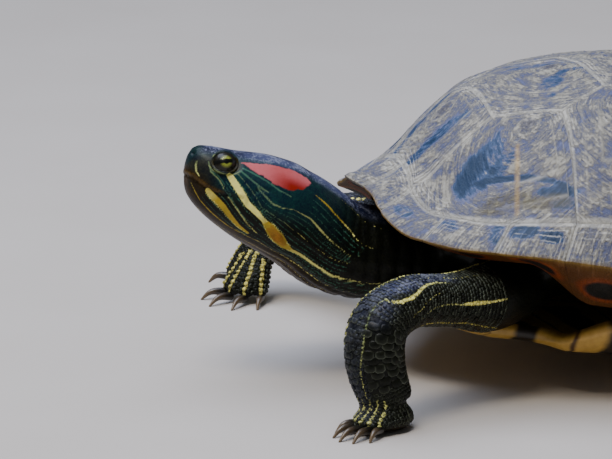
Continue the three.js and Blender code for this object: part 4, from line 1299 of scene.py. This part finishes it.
def carapace_plates():
    """Every plate of the carapace, by the name of its solid."""
    plates = {}
    for number, areola in enumerate(AREOLAE["vertebral"], 1):
        name = f"vertebral_scute_{number}"
        plates[name] = dome_plate(name, vertebral_outline(number), areola, number, keel=0.5)
    for number, (x, forward) in enumerate(AREOLAE["costal"], 1):
        for side, word in SIDES:
            name = f"costal_scute_{word}_{number}"
            outline = costal_outline(number, side)
            plates[name] = dome_plate(name, outline, (side * x, forward), number + 0.4 * side)
    front = MARGINAL_TURNS[0]
    plates["nuchal_scute"] = margin_plate("nuchal_scute", -front, front, 1, peak=4.2)
    for side, word in SIDES:
        name = "marginal_scutes_" + word
        pairs = zip(MARGINAL_TURNS[:-1], MARGINAL_TURNS[1:])
        plates[name] = joined([margin_plate(name, first, last, side) for first, last in pairs], name)
    return plates


# ---- Plastron ----
PLASTRON_HALF = 97
PLASTRON_THICKNESS = 4.4
plastron_width = through([
    (-97, 12), (-94, 24), (-86, 35), (-72, 41), (-56, 43), (-46, 48), (-38, 62), (-20, 65.5),
    (10, 66), (36, 63), (44, 58), (52, 46), (60, 42), (72, 40), (84, 35), (92, 27), (97, 17),
])
# Seams across it, as how far forward each is at the middle and at the side.
PLASTRON_SEAMS = [(76, 70), (50, 46), (20, 21), (-38, -36), (-66, -74)]


def plastron_piece(name):
    """A flat plate with a raised bridge at each side, grooved between its scutes."""
    bpy.ops.mesh.primitive_grid_add(x_subdivisions=96, y_subdivisions=150, size=2)
    piece = bpy.context.object
    piece.name = piece.data.name = name
    flat = coordinates(piece.data)
    share, forward = flat[:, 0], flat[:, 1] * PLASTRON_HALF
    half = plastron_width(forward) - 0.4
    side = share * half
    rise = smoothstep(np.abs(side), 50, 73) * 15
    lift = 4 * smoothstep(forward, 66, PLASTRON_HALF)
    notch = 7 * smoothstep(-forward, 84, PLASTRON_HALF) * np.maximum(0, 1 - np.abs(side) / 12)
    seam = np.abs(side) - 0.1 * np.sin(forward * 0.3)
    for middle, end in PLASTRON_SEAMS:
        line = middle + (end - middle) * np.minimum(np.abs(side) / 42, 1.2)
        seam = np.minimum(seam, np.abs(forward - line))
    groove = 0.35 * np.exp(-(seam / 0.55) ** 2)
    edge = np.minimum(half - np.abs(side), PLASTRON_HALF - np.abs(forward))
    turned = 1.6 * np.exp(-(edge / 1.6) ** 2)
    z = lift + rise + groove + turned + 0.1
    move_to(piece.data, from_shell(np.column_stack([side, notch - forward, z])))
    give(piece.data, seam=seam)
    bpy.context.view_layer.objects.active = piece
    wall = piece.modifiers.new("thickness", "SOLIDIFY")
    wall.thickness, wall.offset = PLASTRON_THICKNESS * MM, -1
    piece.data.flip_normals()
    bpy.ops.object.modifier_apply(modifier=wall.name)
    face_out(piece.data)
    points = in_mm(piece.data)
    points[:, 2] = np.maximum(points[:, 2], 0.06)
    move_to(piece.data, points)
    return piece


# ---- Eyes and claws ----
def eye_piece(name, side):
    """An eyeball, turned to look out, whose cornea bulges a little."""
    centre = eye_centre(side)
    gaze, back, up = eye_axes(side)
    gaze = unit(gaze - 0.2 * back + 0.1 * up)  # the eye looks a little ahead of where its lids face
    back = unit(back - (back @ gaze) * gaze)
    up = np.cross(gaze, back) * np.sign(np.cross(gaze, back) @ up)

    def place(turn, along):
        out, ring = np.cos(pi * along), np.sin(pi * along)
        bulge = 1 + 0.05 * smoothstep(out, 0.75, 0.95)
        around = np.outer(ring * np.cos(turn), back) + np.outer(ring * np.sin(turn), up)
        return centre + EYE_RADIUS * bulge[:, None] * (np.outer(out, gaze) + around)

    piece = moulded(name, 64, 64, place)
    offset = in_mm(piece.data) - centre
    across, high, out = offset @ back, offset @ up, offset @ gaze
    give(piece.data, iris=np.arctan2(np.hypot(across, high), out) * EYE_RADIUS,
         bar=high - 0.16 * across - 0.1, spoke=np.arctan2(high, across))
    return piece


def claw_piece(name, toe):
    """A claw that stops at the floor and knows how near its tip each point is."""
    piece = moulded(name, 20, 26, claw_limb(toe).place)
    points = in_mm(piece.data)
    gone = np.clip((points - toe["tip"]) @ toe["way"] / toe["claw"], 0, 1)
    give(piece.data, tip=gone)
    move_to(piece.data, np.column_stack([points[:, :2], np.maximum(points[:, 2], 0.05)]))
    return piece


# ---- Scales: small domed plates over the legs, feet and tail ----
CORNERS = 8
SCALE_RINGS = [(-0.35, 1.0), (0.45, 0.98), (0.95, 0.72)]  # height as a share of the scale's, and its reach
PATCH = 0.003  # the size of a scale's place on the unwrap
ROOT_REACH = 2.6  # how far from the skin a scale may have been laid out
SOLE = 0.7  # no scale stands lower than this


def scale_template():
    """A low domed plate, 2 wide and 2 long, as points, faces and how near its edge each point is."""
    turns = (np.arange(CORNERS) + 0.5) * 2 * pi / CORNERS
    outline = np.column_stack([np.cos(turns), np.sin(turns)])
    outline = np.sign(outline) * np.abs(outline) ** np.where(outline[:, 1:] > 0, 0.8, 0.6)
    points = [(0, 0, SCALE_RINGS[0][0])]
    for height, reach in SCALE_RINGS:
        points += [(x * reach, y * reach, height) for x, y in outline]
    points.append((0, 0, 1.05))
    faces = [(0, 1 + (i + 1) % CORNERS, 1 + i) for i in range(CORNERS)]
    for ring in range(2):
        base = 1 + ring * CORNERS
        for i in range(CORNERS):
            j = (i + 1) % CORNERS
            faces.append((base + i, base + j, base + CORNERS + j, base + CORNERS + i))
    top = 1 + 2 * CORNERS
    faces += [(top + i, top + (i + 1) % CORNERS, top + CORNERS) for i in range(CORNERS)]
    points = np.array(points, float)
    edge = np.array([1] + [1] * CORNERS + [1] * CORNERS + [0.15] * CORNERS + [0], float)
    return points, faces, edge * (0.3 + 0.7 * smoothstep(points[:, 1], -0.3, 0.6))


def scale_coat(name, roots, skin_tree, region):
    """Joins one plate per root into a coat. A root is (point, way, half across, half along, height, u, v)."""
    shape, faces, edge = scale_template()
    rows = []
    for point, way, across, along, height, u, v in roots:
        found, normal, _, distance = skin_tree.find_nearest(Vector(point))
        if found is None or distance > ROOT_REACH or found[2] < SOLE:
            continue
        rows.append([*found, *normal, *way, across, along, height, u, v])
    rows = np.array(rows, float)
    rows = rows[~hidden_in_shell(rows[:, :3])]
    spots, normals, ways, sizes, patches = np.split(rows, (3, 6, 9, 12), axis=1)
    along = unit(ways - (ways * normals).sum(1)[:, None] * normals)
    across = np.cross(along, normals)
    tilt = 0.16 * shape[:, 1]
    local = shape[None] * sizes[:, None, :]
    points = (
        spots[:, None] + local[..., :1] * across[:, None] + local[..., 1:2] * along[:, None]
        + (local[..., 2:] + tilt[None, :, None] * sizes[:, None, 1:2]) * normals[:, None]
    ).reshape(-1, 3)
    points[:, 2] = np.maximum(points[:, 2], 0.05)
    count = len(shape)
    polygons = [tuple(i * count + k for k in face) for i in range(len(spots)) for face in faces]
    mesh = bpy.data.meshes.new(name)
    mesh.from_pydata(((points + shift) * MM).tolist(), [], polygons)
    piece = bpy.data.objects.new(name, mesh)
    bpy.context.scene.collection.objects.link(piece)
    uv = mesh.uv_layers.new(name="OFBake")
    corners = np.empty(len(mesh.loops), int)
    mesh.loops.foreach_get("vertex_index", corners)
    centre = patches[corners // count] * region[2] + region[:2]
    uv.data.foreach_set("uv", (centre + shape[corners % count, :2] * PATCH / 2).ravel())
    if name == "foreleg_left_scales":
        shades = markings(points)
    else:
        shades = {key: np.repeat(value, count) for key, value in markings(spots).items()}
    shades["edge"] = np.tile(edge, len(spots))
    shades["tone"] = np.repeat(np.random.default_rng(len(spots)).random(len(spots)), count)
    give(mesh, **shades)
    return piece


def field(limb, span, turns, across, along, height, skip=(), lap=1.0):
    """Roots in staggered rows over part of a limb, none quite like the next. span and turns bound it, lap is
    how far a scale reaches over the row after it, and skip holds the patches that larger scales take."""
    rng = np.random.default_rng(int(across * 100))
    roots = []
    length = limb.path.length
    rows = max(1, round((span[1] - span[0]) * length / (along * 1.86)))
    for row in range(rows):
        t = span[0] + (row + 0.5) / rows * (span[1] - span[0])
        girth = pi * (limb.width(t) + limb.depth(t)) * (turns[1] - turns[0]) / 360
        count = max(1, round(girth / (across * 1.9)))
        offset = 0.25 if row % 2 else -0.25
        for i in range(count):
            stray, slip, grow, stretch = rng.uniform(-1, 1, 4)
            step = (i + 0.5 + (offset if count > 2 else 0) + 0.2 * stray) / count
            turn = turns[0] + step * (turns[1] - turns[0])
            if any(a <= t <= b and (c <= turn % 360 <= d) for (a, b), (c, d) in skip):
                continue
            at = t + 0.3 * slip * along / length
            point = limb.surface(np.array([radians(turn)]), np.array([at]))[0]
            way = limb.path.way(np.array([at]))[0]
            size = 1 + 0.12 * grow
            roots.append((point, way, across * size, along * lap * size * (1 + 0.12 * stretch), height * size,
                          (turn % 360) / 360, t))
    return roots


# Where the large scales of forearms and shins lie, as shares of the limb's length and degrees round.
SQUARES = ((0.725, 0.945), (126, 166))
PLATES = ((0.735, 0.93), (8, 104))
HIND_PLATES = ((0.72, 0.97), (200, 300))


def leg_roots(name, leg):
    """Large plates on the forearm or the shin, and small scales over the rest."""
    limb = LIMBS[name]
    if leg["foot"] == "fore":
        large = [SQUARES, PLATES]
        roots = field(limb, *SQUARES, 1.2, 1.0, 0.45) + field(limb, *PLATES, 2.1, 1.3, 0.34, lap=1.2)
    else:
        large = [HIND_PLATES]
        roots = field(limb, *HIND_PLATES, 1.9, 1.4, 0.55)
    roots += field(limb, (0.3, 0.985), (0, 360), 0.78, 0.66, 0.36, skip=large)
    return roots


def foot_roots(leg):
    """Rows along the top and sides of each toe, and rings of small scales over the palm."""
    roots = []
    for number, toe in enumerate(toes_of(leg)):
        limb = toe_limb(toe, FEET[leg["foot"]]["toe_radius"])
        for turn, across in ((90, 0.8), (42, 0.75), (138, 0.75), (2, 0.6), (178, 0.6)):
            for row in range(9):
                t = 0.24 + 0.078 * row
                point = limb.surface(np.array([radians(turn)]), np.array([t]))[0]
                u = 0.1 + number * 0.15 + turn / 3000
                roots.append((point, toe["way"], across, 0.72, 0.5, u, t * 0.4))
    palm = palm_place(leg)
    ahead = floor_way(leg["side"], leg["heading"])
    for along in np.arange(0.14, 0.56, 0.055):
        count = int(round(7 + 30 * sin(pi * along)))
        for i in range(count):
            turn = 2 * pi * (i + 0.5 * (round(along / 0.055) % 2)) / count
            point = palm(np.array([turn]), np.array([along]))[0]
            roots.append((point, ahead, 0.72, 0.66, 0.36, turn / (2 * pi), 0.55 + along * 0.7))
    return roots


# ---- Materials ----
MIXED = dict(output=2, data_type="RGBA")  # a Mix node for colours: 0 is the share of 7, which lies over 6
SOFT = dict(interpolation_type="SMOOTHSTEP")
TIMES = dict(operation="MULTIPLY")
TIMES_PLUS = dict(operation="MULTIPLY_ADD")


def colour(code):
    """An sRGB hex colour in linear light."""
    parts = [int(code[i:i + 2], 16) / 255 for i in (1, 3, 5)]
    return tuple(c / 12.92 if c <= 0.04045 else ((c + 0.055) / 1.055) ** 2.4 for c in parts) + (1.0,)


def add(tree, kind, inputs=None, output=0, **settings):
    """Adds a node, sets it, links or fills its sockets, and gives the output that the next one reads."""
    made = tree.nodes.new("ShaderNode" + kind)
    for name, value in settings.items():
        setattr(made, name, value)
    for socket, value in (inputs or {}).items():
        if isinstance(value, bpy.types.NodeSocket):
            tree.links.new(value, made.inputs[socket])
        else:
            made.inputs[socket].default_value = colour(value) if isinstance(value, str) else value
    return made.outputs[output]


def new_material(name, *attributes):
    """A bare material, its node tree, its Object coordinates and what it reads from the mesh, by name."""
    material = bpy.data.materials.new(name)
    material.use_nodes = True
    tree = material.node_tree
    tree.nodes.clear()
    where = add(tree, "TexCoord", output="Object")
    read = {key: add(tree, "Attribute", attribute_name=key, output="Fac") for key in attributes}
    return material, tree, where, read


def surface(tree, inputs):
    shader = add(tree, "BsdfPrincipled", inputs)
    tree.links.new(shader, tree.nodes.new("ShaderNodeOutputMaterial").inputs["Surface"])


def leathery_skin(name, scaly):
    """A turtle's wet skin: thin, tight and dark over the head, grained like fine leather on the neck. On
    scales the same colours are cut up by each plate's paler worn edge."""
    material, tree, where, read = new_material(
        name, "stripe", "warmth", "red", "ember", "sky_sheen", "teal", "ochre", "beak", "grain", "lid"
    )
    broad, blotch, fine = (
        add(tree, "TexNoise", {"Vector": where, "Scale": scale, "Detail": detail, "Roughness": rough})
        for scale, detail, rough in ((90.0, 3.0, 0.5), (260.0, 4.0, 0.65), (1500.0, 3.0, 0.5))
    )  # 11, 4 and 0.7 mm
    tone = add(tree, "Math", {0: fine, 1: 0.8, 2: blotch}, **TIMES_PLUS)
    tone = add(tree, "MapRange", {"Value": tone, "From Min": 0.66, "From Max": 1.16})
    cloud = add(tree, "MapRange", {"Value": broad, "From Min": 0.38, "From Max": 0.6})
    pallor = add(tree, "MapRange", {"Value": tone, "From Min": 0.42, "From Max": 0.72, "To Max": 0.8})
    base, blue_green, sheen_lilac, brown, horn, amber, olive, flame = (
        add(tree, "Mix", {0: share, 6: low, 7: high}, **MIXED)
        for share, low, high in (
            (tone, "#040503", "#15170C"), (tone, "#05192A", "#123B38"), (cloud, "#10162F", "#404665"),
            (tone, "#130A00", "#3C2602"), (tone, "#241A07", "#5E4518"), (tone, "#7E3A06", "#B8701E"),
            (tone, "#0F0D04", "#403A1A"), (broad, "#D4737A", "#A23A34"),
        )
    )
    # This blue-violet grey, and the darker one above it, is a painted sky reflection for the tops of head and
    # legs.
    sheen_lilac = add(tree, "Mix", {0: pallor, 6: sheen_lilac, 7: "#7E8296"}, **MIXED)

    # Lines break up where the skin is grained. They run from green over cream and gold to amber.
    rough = add(tree, "Math", {0: read["grain"], 1: 0.9, 2: 0.15}, **TIMES_PLUS)
    ragged = add(tree, "Math", {0: fine, 1: 0.5}, operation="SUBTRACT")
    ragged = add(tree, "Math", {0: ragged, 1: rough}, **TIMES)
    stripe = add(tree, "Math", {0: read["stripe"], 1: ragged}, operation="ADD")
    stripe = add(tree, "MapRange", {"Value": stripe, "From Min": -0.12, "From Max": 0.22}, **SOFT)
    worn = add(tree, "MapRange", {"Value": blotch, "From Min": 0.3, "From Max": 0.6, "To Min": 0.78})
    stripe = add(tree, "Math", {0: stripe, 1: worn}, **TIMES)
    cream = add(tree, "MapRange", {"Value": read["warmth"], "From Min": 0.06, "From Max": 0.5}, **SOFT)
    gold, warm, within = (
        add(tree, "MapRange", {"Value": read[key], "From Min": low, "From Max": high})
        for key, low, high in (("warmth", 0.5, 0.66), ("warmth", 0.82, 0.95), ("stripe", 0.2, 0.75))
    )
    warm = add(tree, "Math", {0: warm, 1: within}, **TIMES)
    line = "#386552"
    for share, over in ((cream, "#FBF388"), (gold, "#B3992C"), (warm, amber)):
        line = add(tree, "Mix", {0: share, 6: line, 7: over}, **MIXED)

    # The red patch has a frayed edge, and is brightest at its lower rear.
    frayed = add(tree, "Math", {0: blotch, 1: 0.5}, operation="SUBTRACT")
    frayed = add(tree, "Math", {0: frayed, 1: 2.4, 2: ragged}, **TIMES_PLUS)
    red = add(tree, "Math", {0: read["red"], 1: frayed}, operation="ADD")
    red = add(tree, "MapRange", {"Value": red, "From Min": -0.15, "From Max": 0.4}, **SOFT)
    flame = add(tree, "Mix", {0: read["ember"], 6: flame, 7: "#8E1B10"}, **MIXED)

    layers = [
        (read["teal"], blue_green), (read["sky_sheen"], sheen_lilac), (read["ochre"], brown), (read["beak"], horn),
        (stripe, line), (red, flame), (read["lid"], olive),
    ]
    if scaly:
        edge, chance = (add(tree, "Attribute", attribute_name=key, output="Fac") for key in ("edge", "tone"))
        pale = add(tree, "Math", {0: edge, 1: chance}, **TIMES)
        pale = add(tree, "Math", {0: pale, 1: 0.6}, **TIMES)
        layers.append((pale, "#787F6C"))
        height, deep = fine, 0.00006
    else:
        pits = add(tree, "TexVoronoi", {"Vector": where, "Scale": 950.0}, feature="SMOOTH_F1")  # 1 mm grains
        height = add(tree, "Math", {0: pits, 1: read["grain"]}, **TIMES)
        height = add(tree, "Math", {0: tone, 1: 0.3, 2: height}, **TIMES_PLUS)
        deep = 0.0003
    for share, over in layers:
        base = add(tree, "Mix", {0: share, 6: base, 7: over}, **MIXED)
    bump = add(tree, "Bump", {"Strength": 0.6, "Distance": deep, "Height": height})
    surface(tree, {"Base Color": base, "Roughness": 0.45, "Specular IOR Level": 0.12, "Coat Weight": 0.07,
                   "Coat Roughness": 0.2, "Normal": bump})
    return material


def weathered_scute():
    """Keratin that has basked dry: a thin beige-grey film of old silt over horn, worn through in patches,
    lined by its growth rings and pale along the seams. The horn is painted grey-blue, and deep blue where
    bare, for the sky it reflects. Orange horn shows underneath."""
    material, tree, where, read = new_material(
        "weathered_scute", "inside", "out", "bar", "under", "bearing", "rim", "spot", "clean", "olive",
        "boss", "ridge",
    )
    broad, patch, fine = (
        add(tree, "TexNoise", {"Vector": where, "Scale": scale, "Detail": detail, "Roughness": rough})
        for scale, detail, rough in ((48.0, 4.0, 0.6), (170.0, 9.0, 0.72), (900.0, 4.0, 0.7))
    )  # 20, 6 and 1 mm
    # Strokes along the growth rings, under 1 mm wide and some 6 mm long, that the silt's flakes break up.
    wobble = add(tree, "Math", {0: broad, 1: 1.5, 2: read["out"]}, **TIMES_PLUS)
    bent = add(tree, "Math", {0: read["bearing"], 1: 2.0}, **TIMES)
    rings = add(tree, "CombineXYZ", {0: wobble, 1: bent, 2: broad})
    strokes = add(tree, "TexNoise", {"Vector": rings, "Scale": 1.4, "Detail": 5.0, "Roughness": 0.7})

    # How thick the silt lies, how deep the painted sky blue of the worn horn is, and where it is bare, as
    # sums of parts.
    sums = []
    for total, parts in (
        (strokes, ((patch, 1.7), (broad, 0.6), (read["clean"], -0.3), (fine, 0.6))),
        (patch, ((read["clean"], -0.22), (strokes, 1.2))),
        (read["clean"], ((patch, -3.0), (strokes, -2.6))),
    ):
        for part, weight in parts:
            total = add(tree, "Math", {0: part, 1: weight, 2: total}, **TIMES_PLUS)
        sums.append(total)
    silt, depth, bare = sums

    # Growth rings crowd the last 6 mm before a seam, 1.1 mm apart, as pale broken lines.
    turns = add(tree, "Math", {0: patch, 1: 1.3, 2: read["inside"]}, **TIMES_PLUS)
    turns = add(tree, "Math", {0: turns, 1: 2 * pi / 1.1}, **TIMES)
    turns = add(tree, "Math", {0: turns}, operation="SINE")
    broken = add(tree, "Math", {0: patch, 1: 0.8, 2: broad}, **TIMES_PLUS)

    # Each as its value, where it starts, where it is full, and how strong it is there.
    cover, scored, raised, depth, bare, line, near, broken, bar = (
        add(tree, "MapRange", {"Value": value, "From Min": start, "From Max": full, "To Max": most})
        for value, start, full, most in (
            (silt, 1.72, 2.06, 1.0), (strokes, 0.43, 0.35, 0.5), (strokes, 0.58, 0.68, 0.6),
            (depth, 0.7, 1.05, 1.0), (bare, -2.1, -1.8, 0.95), (turns, 0.4, 0.95, 0.65),
            (read["inside"], 6.0, 2.5, 1.0), (broken, 0.86, 1.0, 1.0), (read["bar"], -0.5, 0.5, 1.0),
        )
    )
    # The olive tint is partly algal stains and partly a band of painted reflection across the first costal
    # scutes.
    line, algae_and_reflection, ridge, boss, bar = (
        add(tree, "Math", {0: value, 1: share}, **TIMES)
        for value, share in (
            (line, near), (read["olive"], patch), (read["ridge"], 0.6), (read["boss"], patch), (bar, 0.6),
        )
    )
    line = add(tree, "Math", {0: line, 1: broken}, **TIMES)
    ragged = add(tree, "Math", {0: patch, 1: 1.6, 2: read["inside"]}, **TIMES_PLUS)
    seam, ring, spot = (
        add(tree, "MapRange", {"Value": value, "From Min": start, "From Max": full, "To Max": most}, **SOFT)
        for value, start, full, most in (
            (ragged, 1.95, 1.15, 0.8), (read["spot"], -1.6, 0.2, 1.0), (read["spot"], 0.2, 1.4, 1.0),
        )
    )
    # The horn's grey-blue, and the deep blue where it is bare, are a painted sky reflection on the glossy
    # horn.
    film, horn, blue, rust = (
        add(tree, "Mix", {0: share, 6: low, 7: high}, **MIXED)
        for share, low, high in (
            (fine, "#5E5A50", "#B8B4A6"), (patch, "#34426E", "#8488A4"), (depth, "#042C4A", "#46608A"),
            (broad, "#3A2206", "#7E480C"),
        )
    )
    for share, over in ((ring, "#8A3D0C"), (spot, "#0F0D08")):
        rust = add(tree, "Mix", {0: share, 6: rust, 7: over}, **MIXED)
    base = horn
    for share, over in (
        (cover, film), (scored, "#454866"), (raised, "#BDBBB4"), (bare, blue), (line, "#CFCDC6"),
        (algae_and_reflection, "#5C521C"), (ridge, "#B4B0A2"), (boss, "#4C4D63"), (bar, "#C9A86C"), (seam, "#C2BFB4"),
        (read["under"], rust), (read["rim"], "#93701F"),
    ):
        base = add(tree, "Mix", {0: share, 6: base, 7: over}, **MIXED)

    height = add(tree, "Math", {0: strokes, 1: 0.8, 2: cover}, **TIMES_PLUS)
    height = add(tree, "Math", {0: fine, 1: 0.5, 2: height}, **TIMES_PLUS)
    bump = add(tree, "Bump", {"Strength": 0.8, "Distance": 0.0006, "Height": height})
    surface(tree, {"Base Color": base, "Roughness": 0.5, "Specular IOR Level": 0.28, "Coat Weight": 0.06,
                   "Coat Roughness": 0.3, "Normal": bump})
    return material


def plastron_horn():
    """Smooth yellow horn with a dark smoky blotch on each scute and brown seams."""
    material, tree, where, read = new_material("plastron_horn", "seam")
    mottle = add(tree, "TexNoise", {"Vector": where, "Scale": 60.0, "Detail": 3.0})  # 17 mm
    fine = add(tree, "TexNoise", {"Vector": where, "Scale": 500.0, "Detail": 3.0})  # 2 mm
    away = add(tree, "Math", {0: mottle, 1: 9.0, 2: read["seam"]}, **TIMES_PLUS)
    blot = add(tree, "MapRange", {"Value": away, "From Min": 11.5, "From Max": 14.0}, **SOFT)
    line = add(tree, "MapRange", {"Value": read["seam"], "From Min": 0.9, "From Max": 0.25})
    base = "#A87B2C"
    for share, over in ((fine, "#D3AC53"), (blot, "#231A10"), (line, "#4A2F12")):
        base = add(tree, "Mix", {0: share, 6: base, 7: over}, **MIXED)
    bump = add(tree, "Bump", {"Strength": 0.3, "Distance": 0.0003, "Height": fine})
    surface(tree, {"Base Color": base, "Roughness": 0.45, "Coat Weight": 0.1, "Coat Roughness": 0.3,
                   "Normal": bump})
    return material


def wet_eye():
    """A clear wet cornea over a yellow-green iris, with a dark bar across it through the round pupil."""
    material, tree, _, read = new_material("wet_eye", "iris", "bar", "spoke")
    spokes = add(tree, "CombineXYZ", {0: read["spoke"], 1: read["iris"], 2: 0.0})
    rays = add(tree, "TexNoise", {"Vector": spokes, "Scale": 5.0, "Detail": 2.0})
    off_bar = add(tree, "Math", {0: read["bar"]}, operation="ABSOLUTE")
    outer, bar, pupil = (
        add(tree, "MapRange", {"Value": value, "From Min": start, "From Max": full}, **SOFT)
        for value, start, full in ((read["iris"], 1.1, 2.5), (off_bar, 0.85, 0.5), (read["iris"], 0.95, 0.75))
    )
    base = "#39440A"
    for share, over in ((rays, "#B4BC4A"), (outer, "#171307"), (bar, "#070805"), (pupil, "#030303")):
        base = add(tree, "Mix", {0: share, 6: base, 7: over}, **MIXED)
    surface(tree, {"Base Color": base, "Roughness": 0.35, "Specular IOR Level": 0.2, "Coat Weight": 0.3,
                   "Coat Roughness": 0.05})
    return material


def claw_horn():
    """Solid keratin, dark at the root, paler towards the worn tip and faintly grained."""
    material, tree, where, read = new_material("claw_horn", "tip")
    grain = add(tree, "TexNoise", {"Vector": where, "Scale": 900.0, "Detail": 2.0})  # 1 mm
    pale = add(tree, "Math", {0: grain, 1: 0.35, 2: read["tip"]}, **TIMES_PLUS)
    pale = add(tree, "MapRange", {"Value": pale, "From Min": 0.3, "From Max": 1.1})
    base = add(tree, "Mix", {0: pale, 6: "#15110C", 7: "#6A563A"}, **MIXED)
    bump = add(tree, "Bump", {"Strength": 0.2, "Distance": 0.0001, "Height": grain})
    surface(tree, {"Base Color": base, "Roughness": 0.38, "Coat Weight": 0.3, "Coat Roughness": 0.2,
                   "Normal": bump})
    return material


# ---- Stage ----
def pale_floor():
    """Matt studio card, barely mottled."""
    material, tree, where, _ = new_material("pale_floor")
    faint = add(tree, "TexNoise", {"Vector": where, "Scale": 14.0, "Detail": 3.0})
    base = add(tree, "Mix", {0: faint, 6: "#BDB6AD", 7: "#C6C0B8"}, **MIXED)
    surface(tree, {"Base Color": base, "Roughness": 0.8})
    return material


def set_stage():
    """A card floor under a broad cool sky and one warmer lamp."""
    bpy.ops.mesh.primitive_plane_add(size=12, location=(0, 0, 0))
    ground = bpy.context.object
    ground.name = "floor"
    ground.data.materials.append(pale_floor())
    world = bpy.data.worlds.new("studio")
    world.use_nodes = True
    world.node_tree.nodes["Background"].inputs["Color"].default_value = colour("#C9CDD4")
    world.node_tree.nodes["Background"].inputs["Strength"].default_value = 0.22
    bpy.context.scene.world = world
    target = Vector((0, -0.06, 0.04))
    for name, place, size, power, tint in (
        ("sky", (-0.15, -0.3, 1.15), 1.2, 24, "#DCE6FF"),
        ("key", (0.42, -0.5, 1.25), 0.4, 9, "#FFF4E4"),
    ):
        light = bpy.data.lights.new(name, "AREA")
        light.size, light.energy, light.color = size, power, colour(tint)[:3]
        lamp = bpy.data.objects.new(name, light)
        lamp.location = place
        lamp.rotation_euler = (target - Vector(place)).to_track_quat("-Z", "Y").to_euler()
        bpy.context.scene.collection.objects.link(lamp)


def set_camera():
    """A long lens off the animal's left side, a little above it, aimed at its neck."""
    azimuth, elevation, distance = radians(72), radians(15), 1.7
    aim = Vector((np.array([0, -126.9, 50]) + shift) * MM)
    way = Vector((sin(azimuth) * cos(elevation), -cos(azimuth) * cos(elevation), sin(elevation)))
    lens = bpy.data.cameras.new("view")
    lens.lens, lens.sensor_width, lens.clip_end = 300, 36, 50
    camera = bpy.data.objects.new("view", lens)
    camera.location = aim + way * distance
    camera.rotation_euler = (-way).to_track_quat("-Z", "Y").to_euler()
    bpy.context.scene.collection.objects.link(camera)
    bpy.context.scene.camera = camera


# ---- The model ----
# The left eye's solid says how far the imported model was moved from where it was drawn.
eye_low, eye_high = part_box("eye_left")
shift[:] = (np.array(eye_low) + np.array(eye_high)) / 2 / MM - head_point(*EYE_CENTRE)
set_camera()
set_stage()

skin_material = leathery_skin("leathery_skin", scaly=False)
scale_material = leathery_skin("leg_scales", scaly=True)
scute_material = weathered_scute()
plastron_material = plastron_horn()
eye_material = wet_eye()
claw_material = claw_horn()

body = build_skin()
give(body.data, **markings(in_mm(body.data)))
feet = {name: name.replace("leg", "foot") for name in LEGS}
finished(body, "skin", skin_material, "head", "lower_jaw", "neck", "trunk", "tail", *feet, *feet.values())
faces = [tuple(face.vertices) for face in body.data.polygons]
skin_tree = BVHTree.FromPolygons([Vector(point) for point in in_mm(body.data)], faces)


def coat(name, roots, *region):
    """A finished coat of scales. region is where its roots lie on the unwrap, and its size there."""
    finished(scale_coat(name + "_scales", roots, skin_tree, np.array(region)), "skin", scale_material)


for order, (name, leg) in enumerate(LEGS.items()):
    coat(name, leg_roots(name, leg), 0.25 * order, 0.0, 0.22)
    coat(feet[name], foot_roots(leg), 0.25 * order, 0.35, 0.22)
    clawed = [toe for toe in toes_of(leg) if toe["claw"] > 0]
    for number, toe in enumerate(clawed, 1):
        node = f"{feet[name]}_claw_{number}"
        finished(claw_piece("horn_" + node, toe), "claws", claw_material, node)
coat("tail", field(TAIL, (0.3, 0.97), (0, 360), 0.8, 0.72, 0.34), 0.0, 0.7, 0.25)

for name, plate in carapace_plates().items():
    plate.name = plate.data.name = "horn_" + name
    finished(plate, "scutes", scute_material, name)
finished(plastron_piece("horn_plastron"), "plastron", plastron_material, "plastron")
for side, word in SIDES:
    finished(eye_piece("ball_eye_" + word, side), "eyes", eye_material, "eye_" + word)
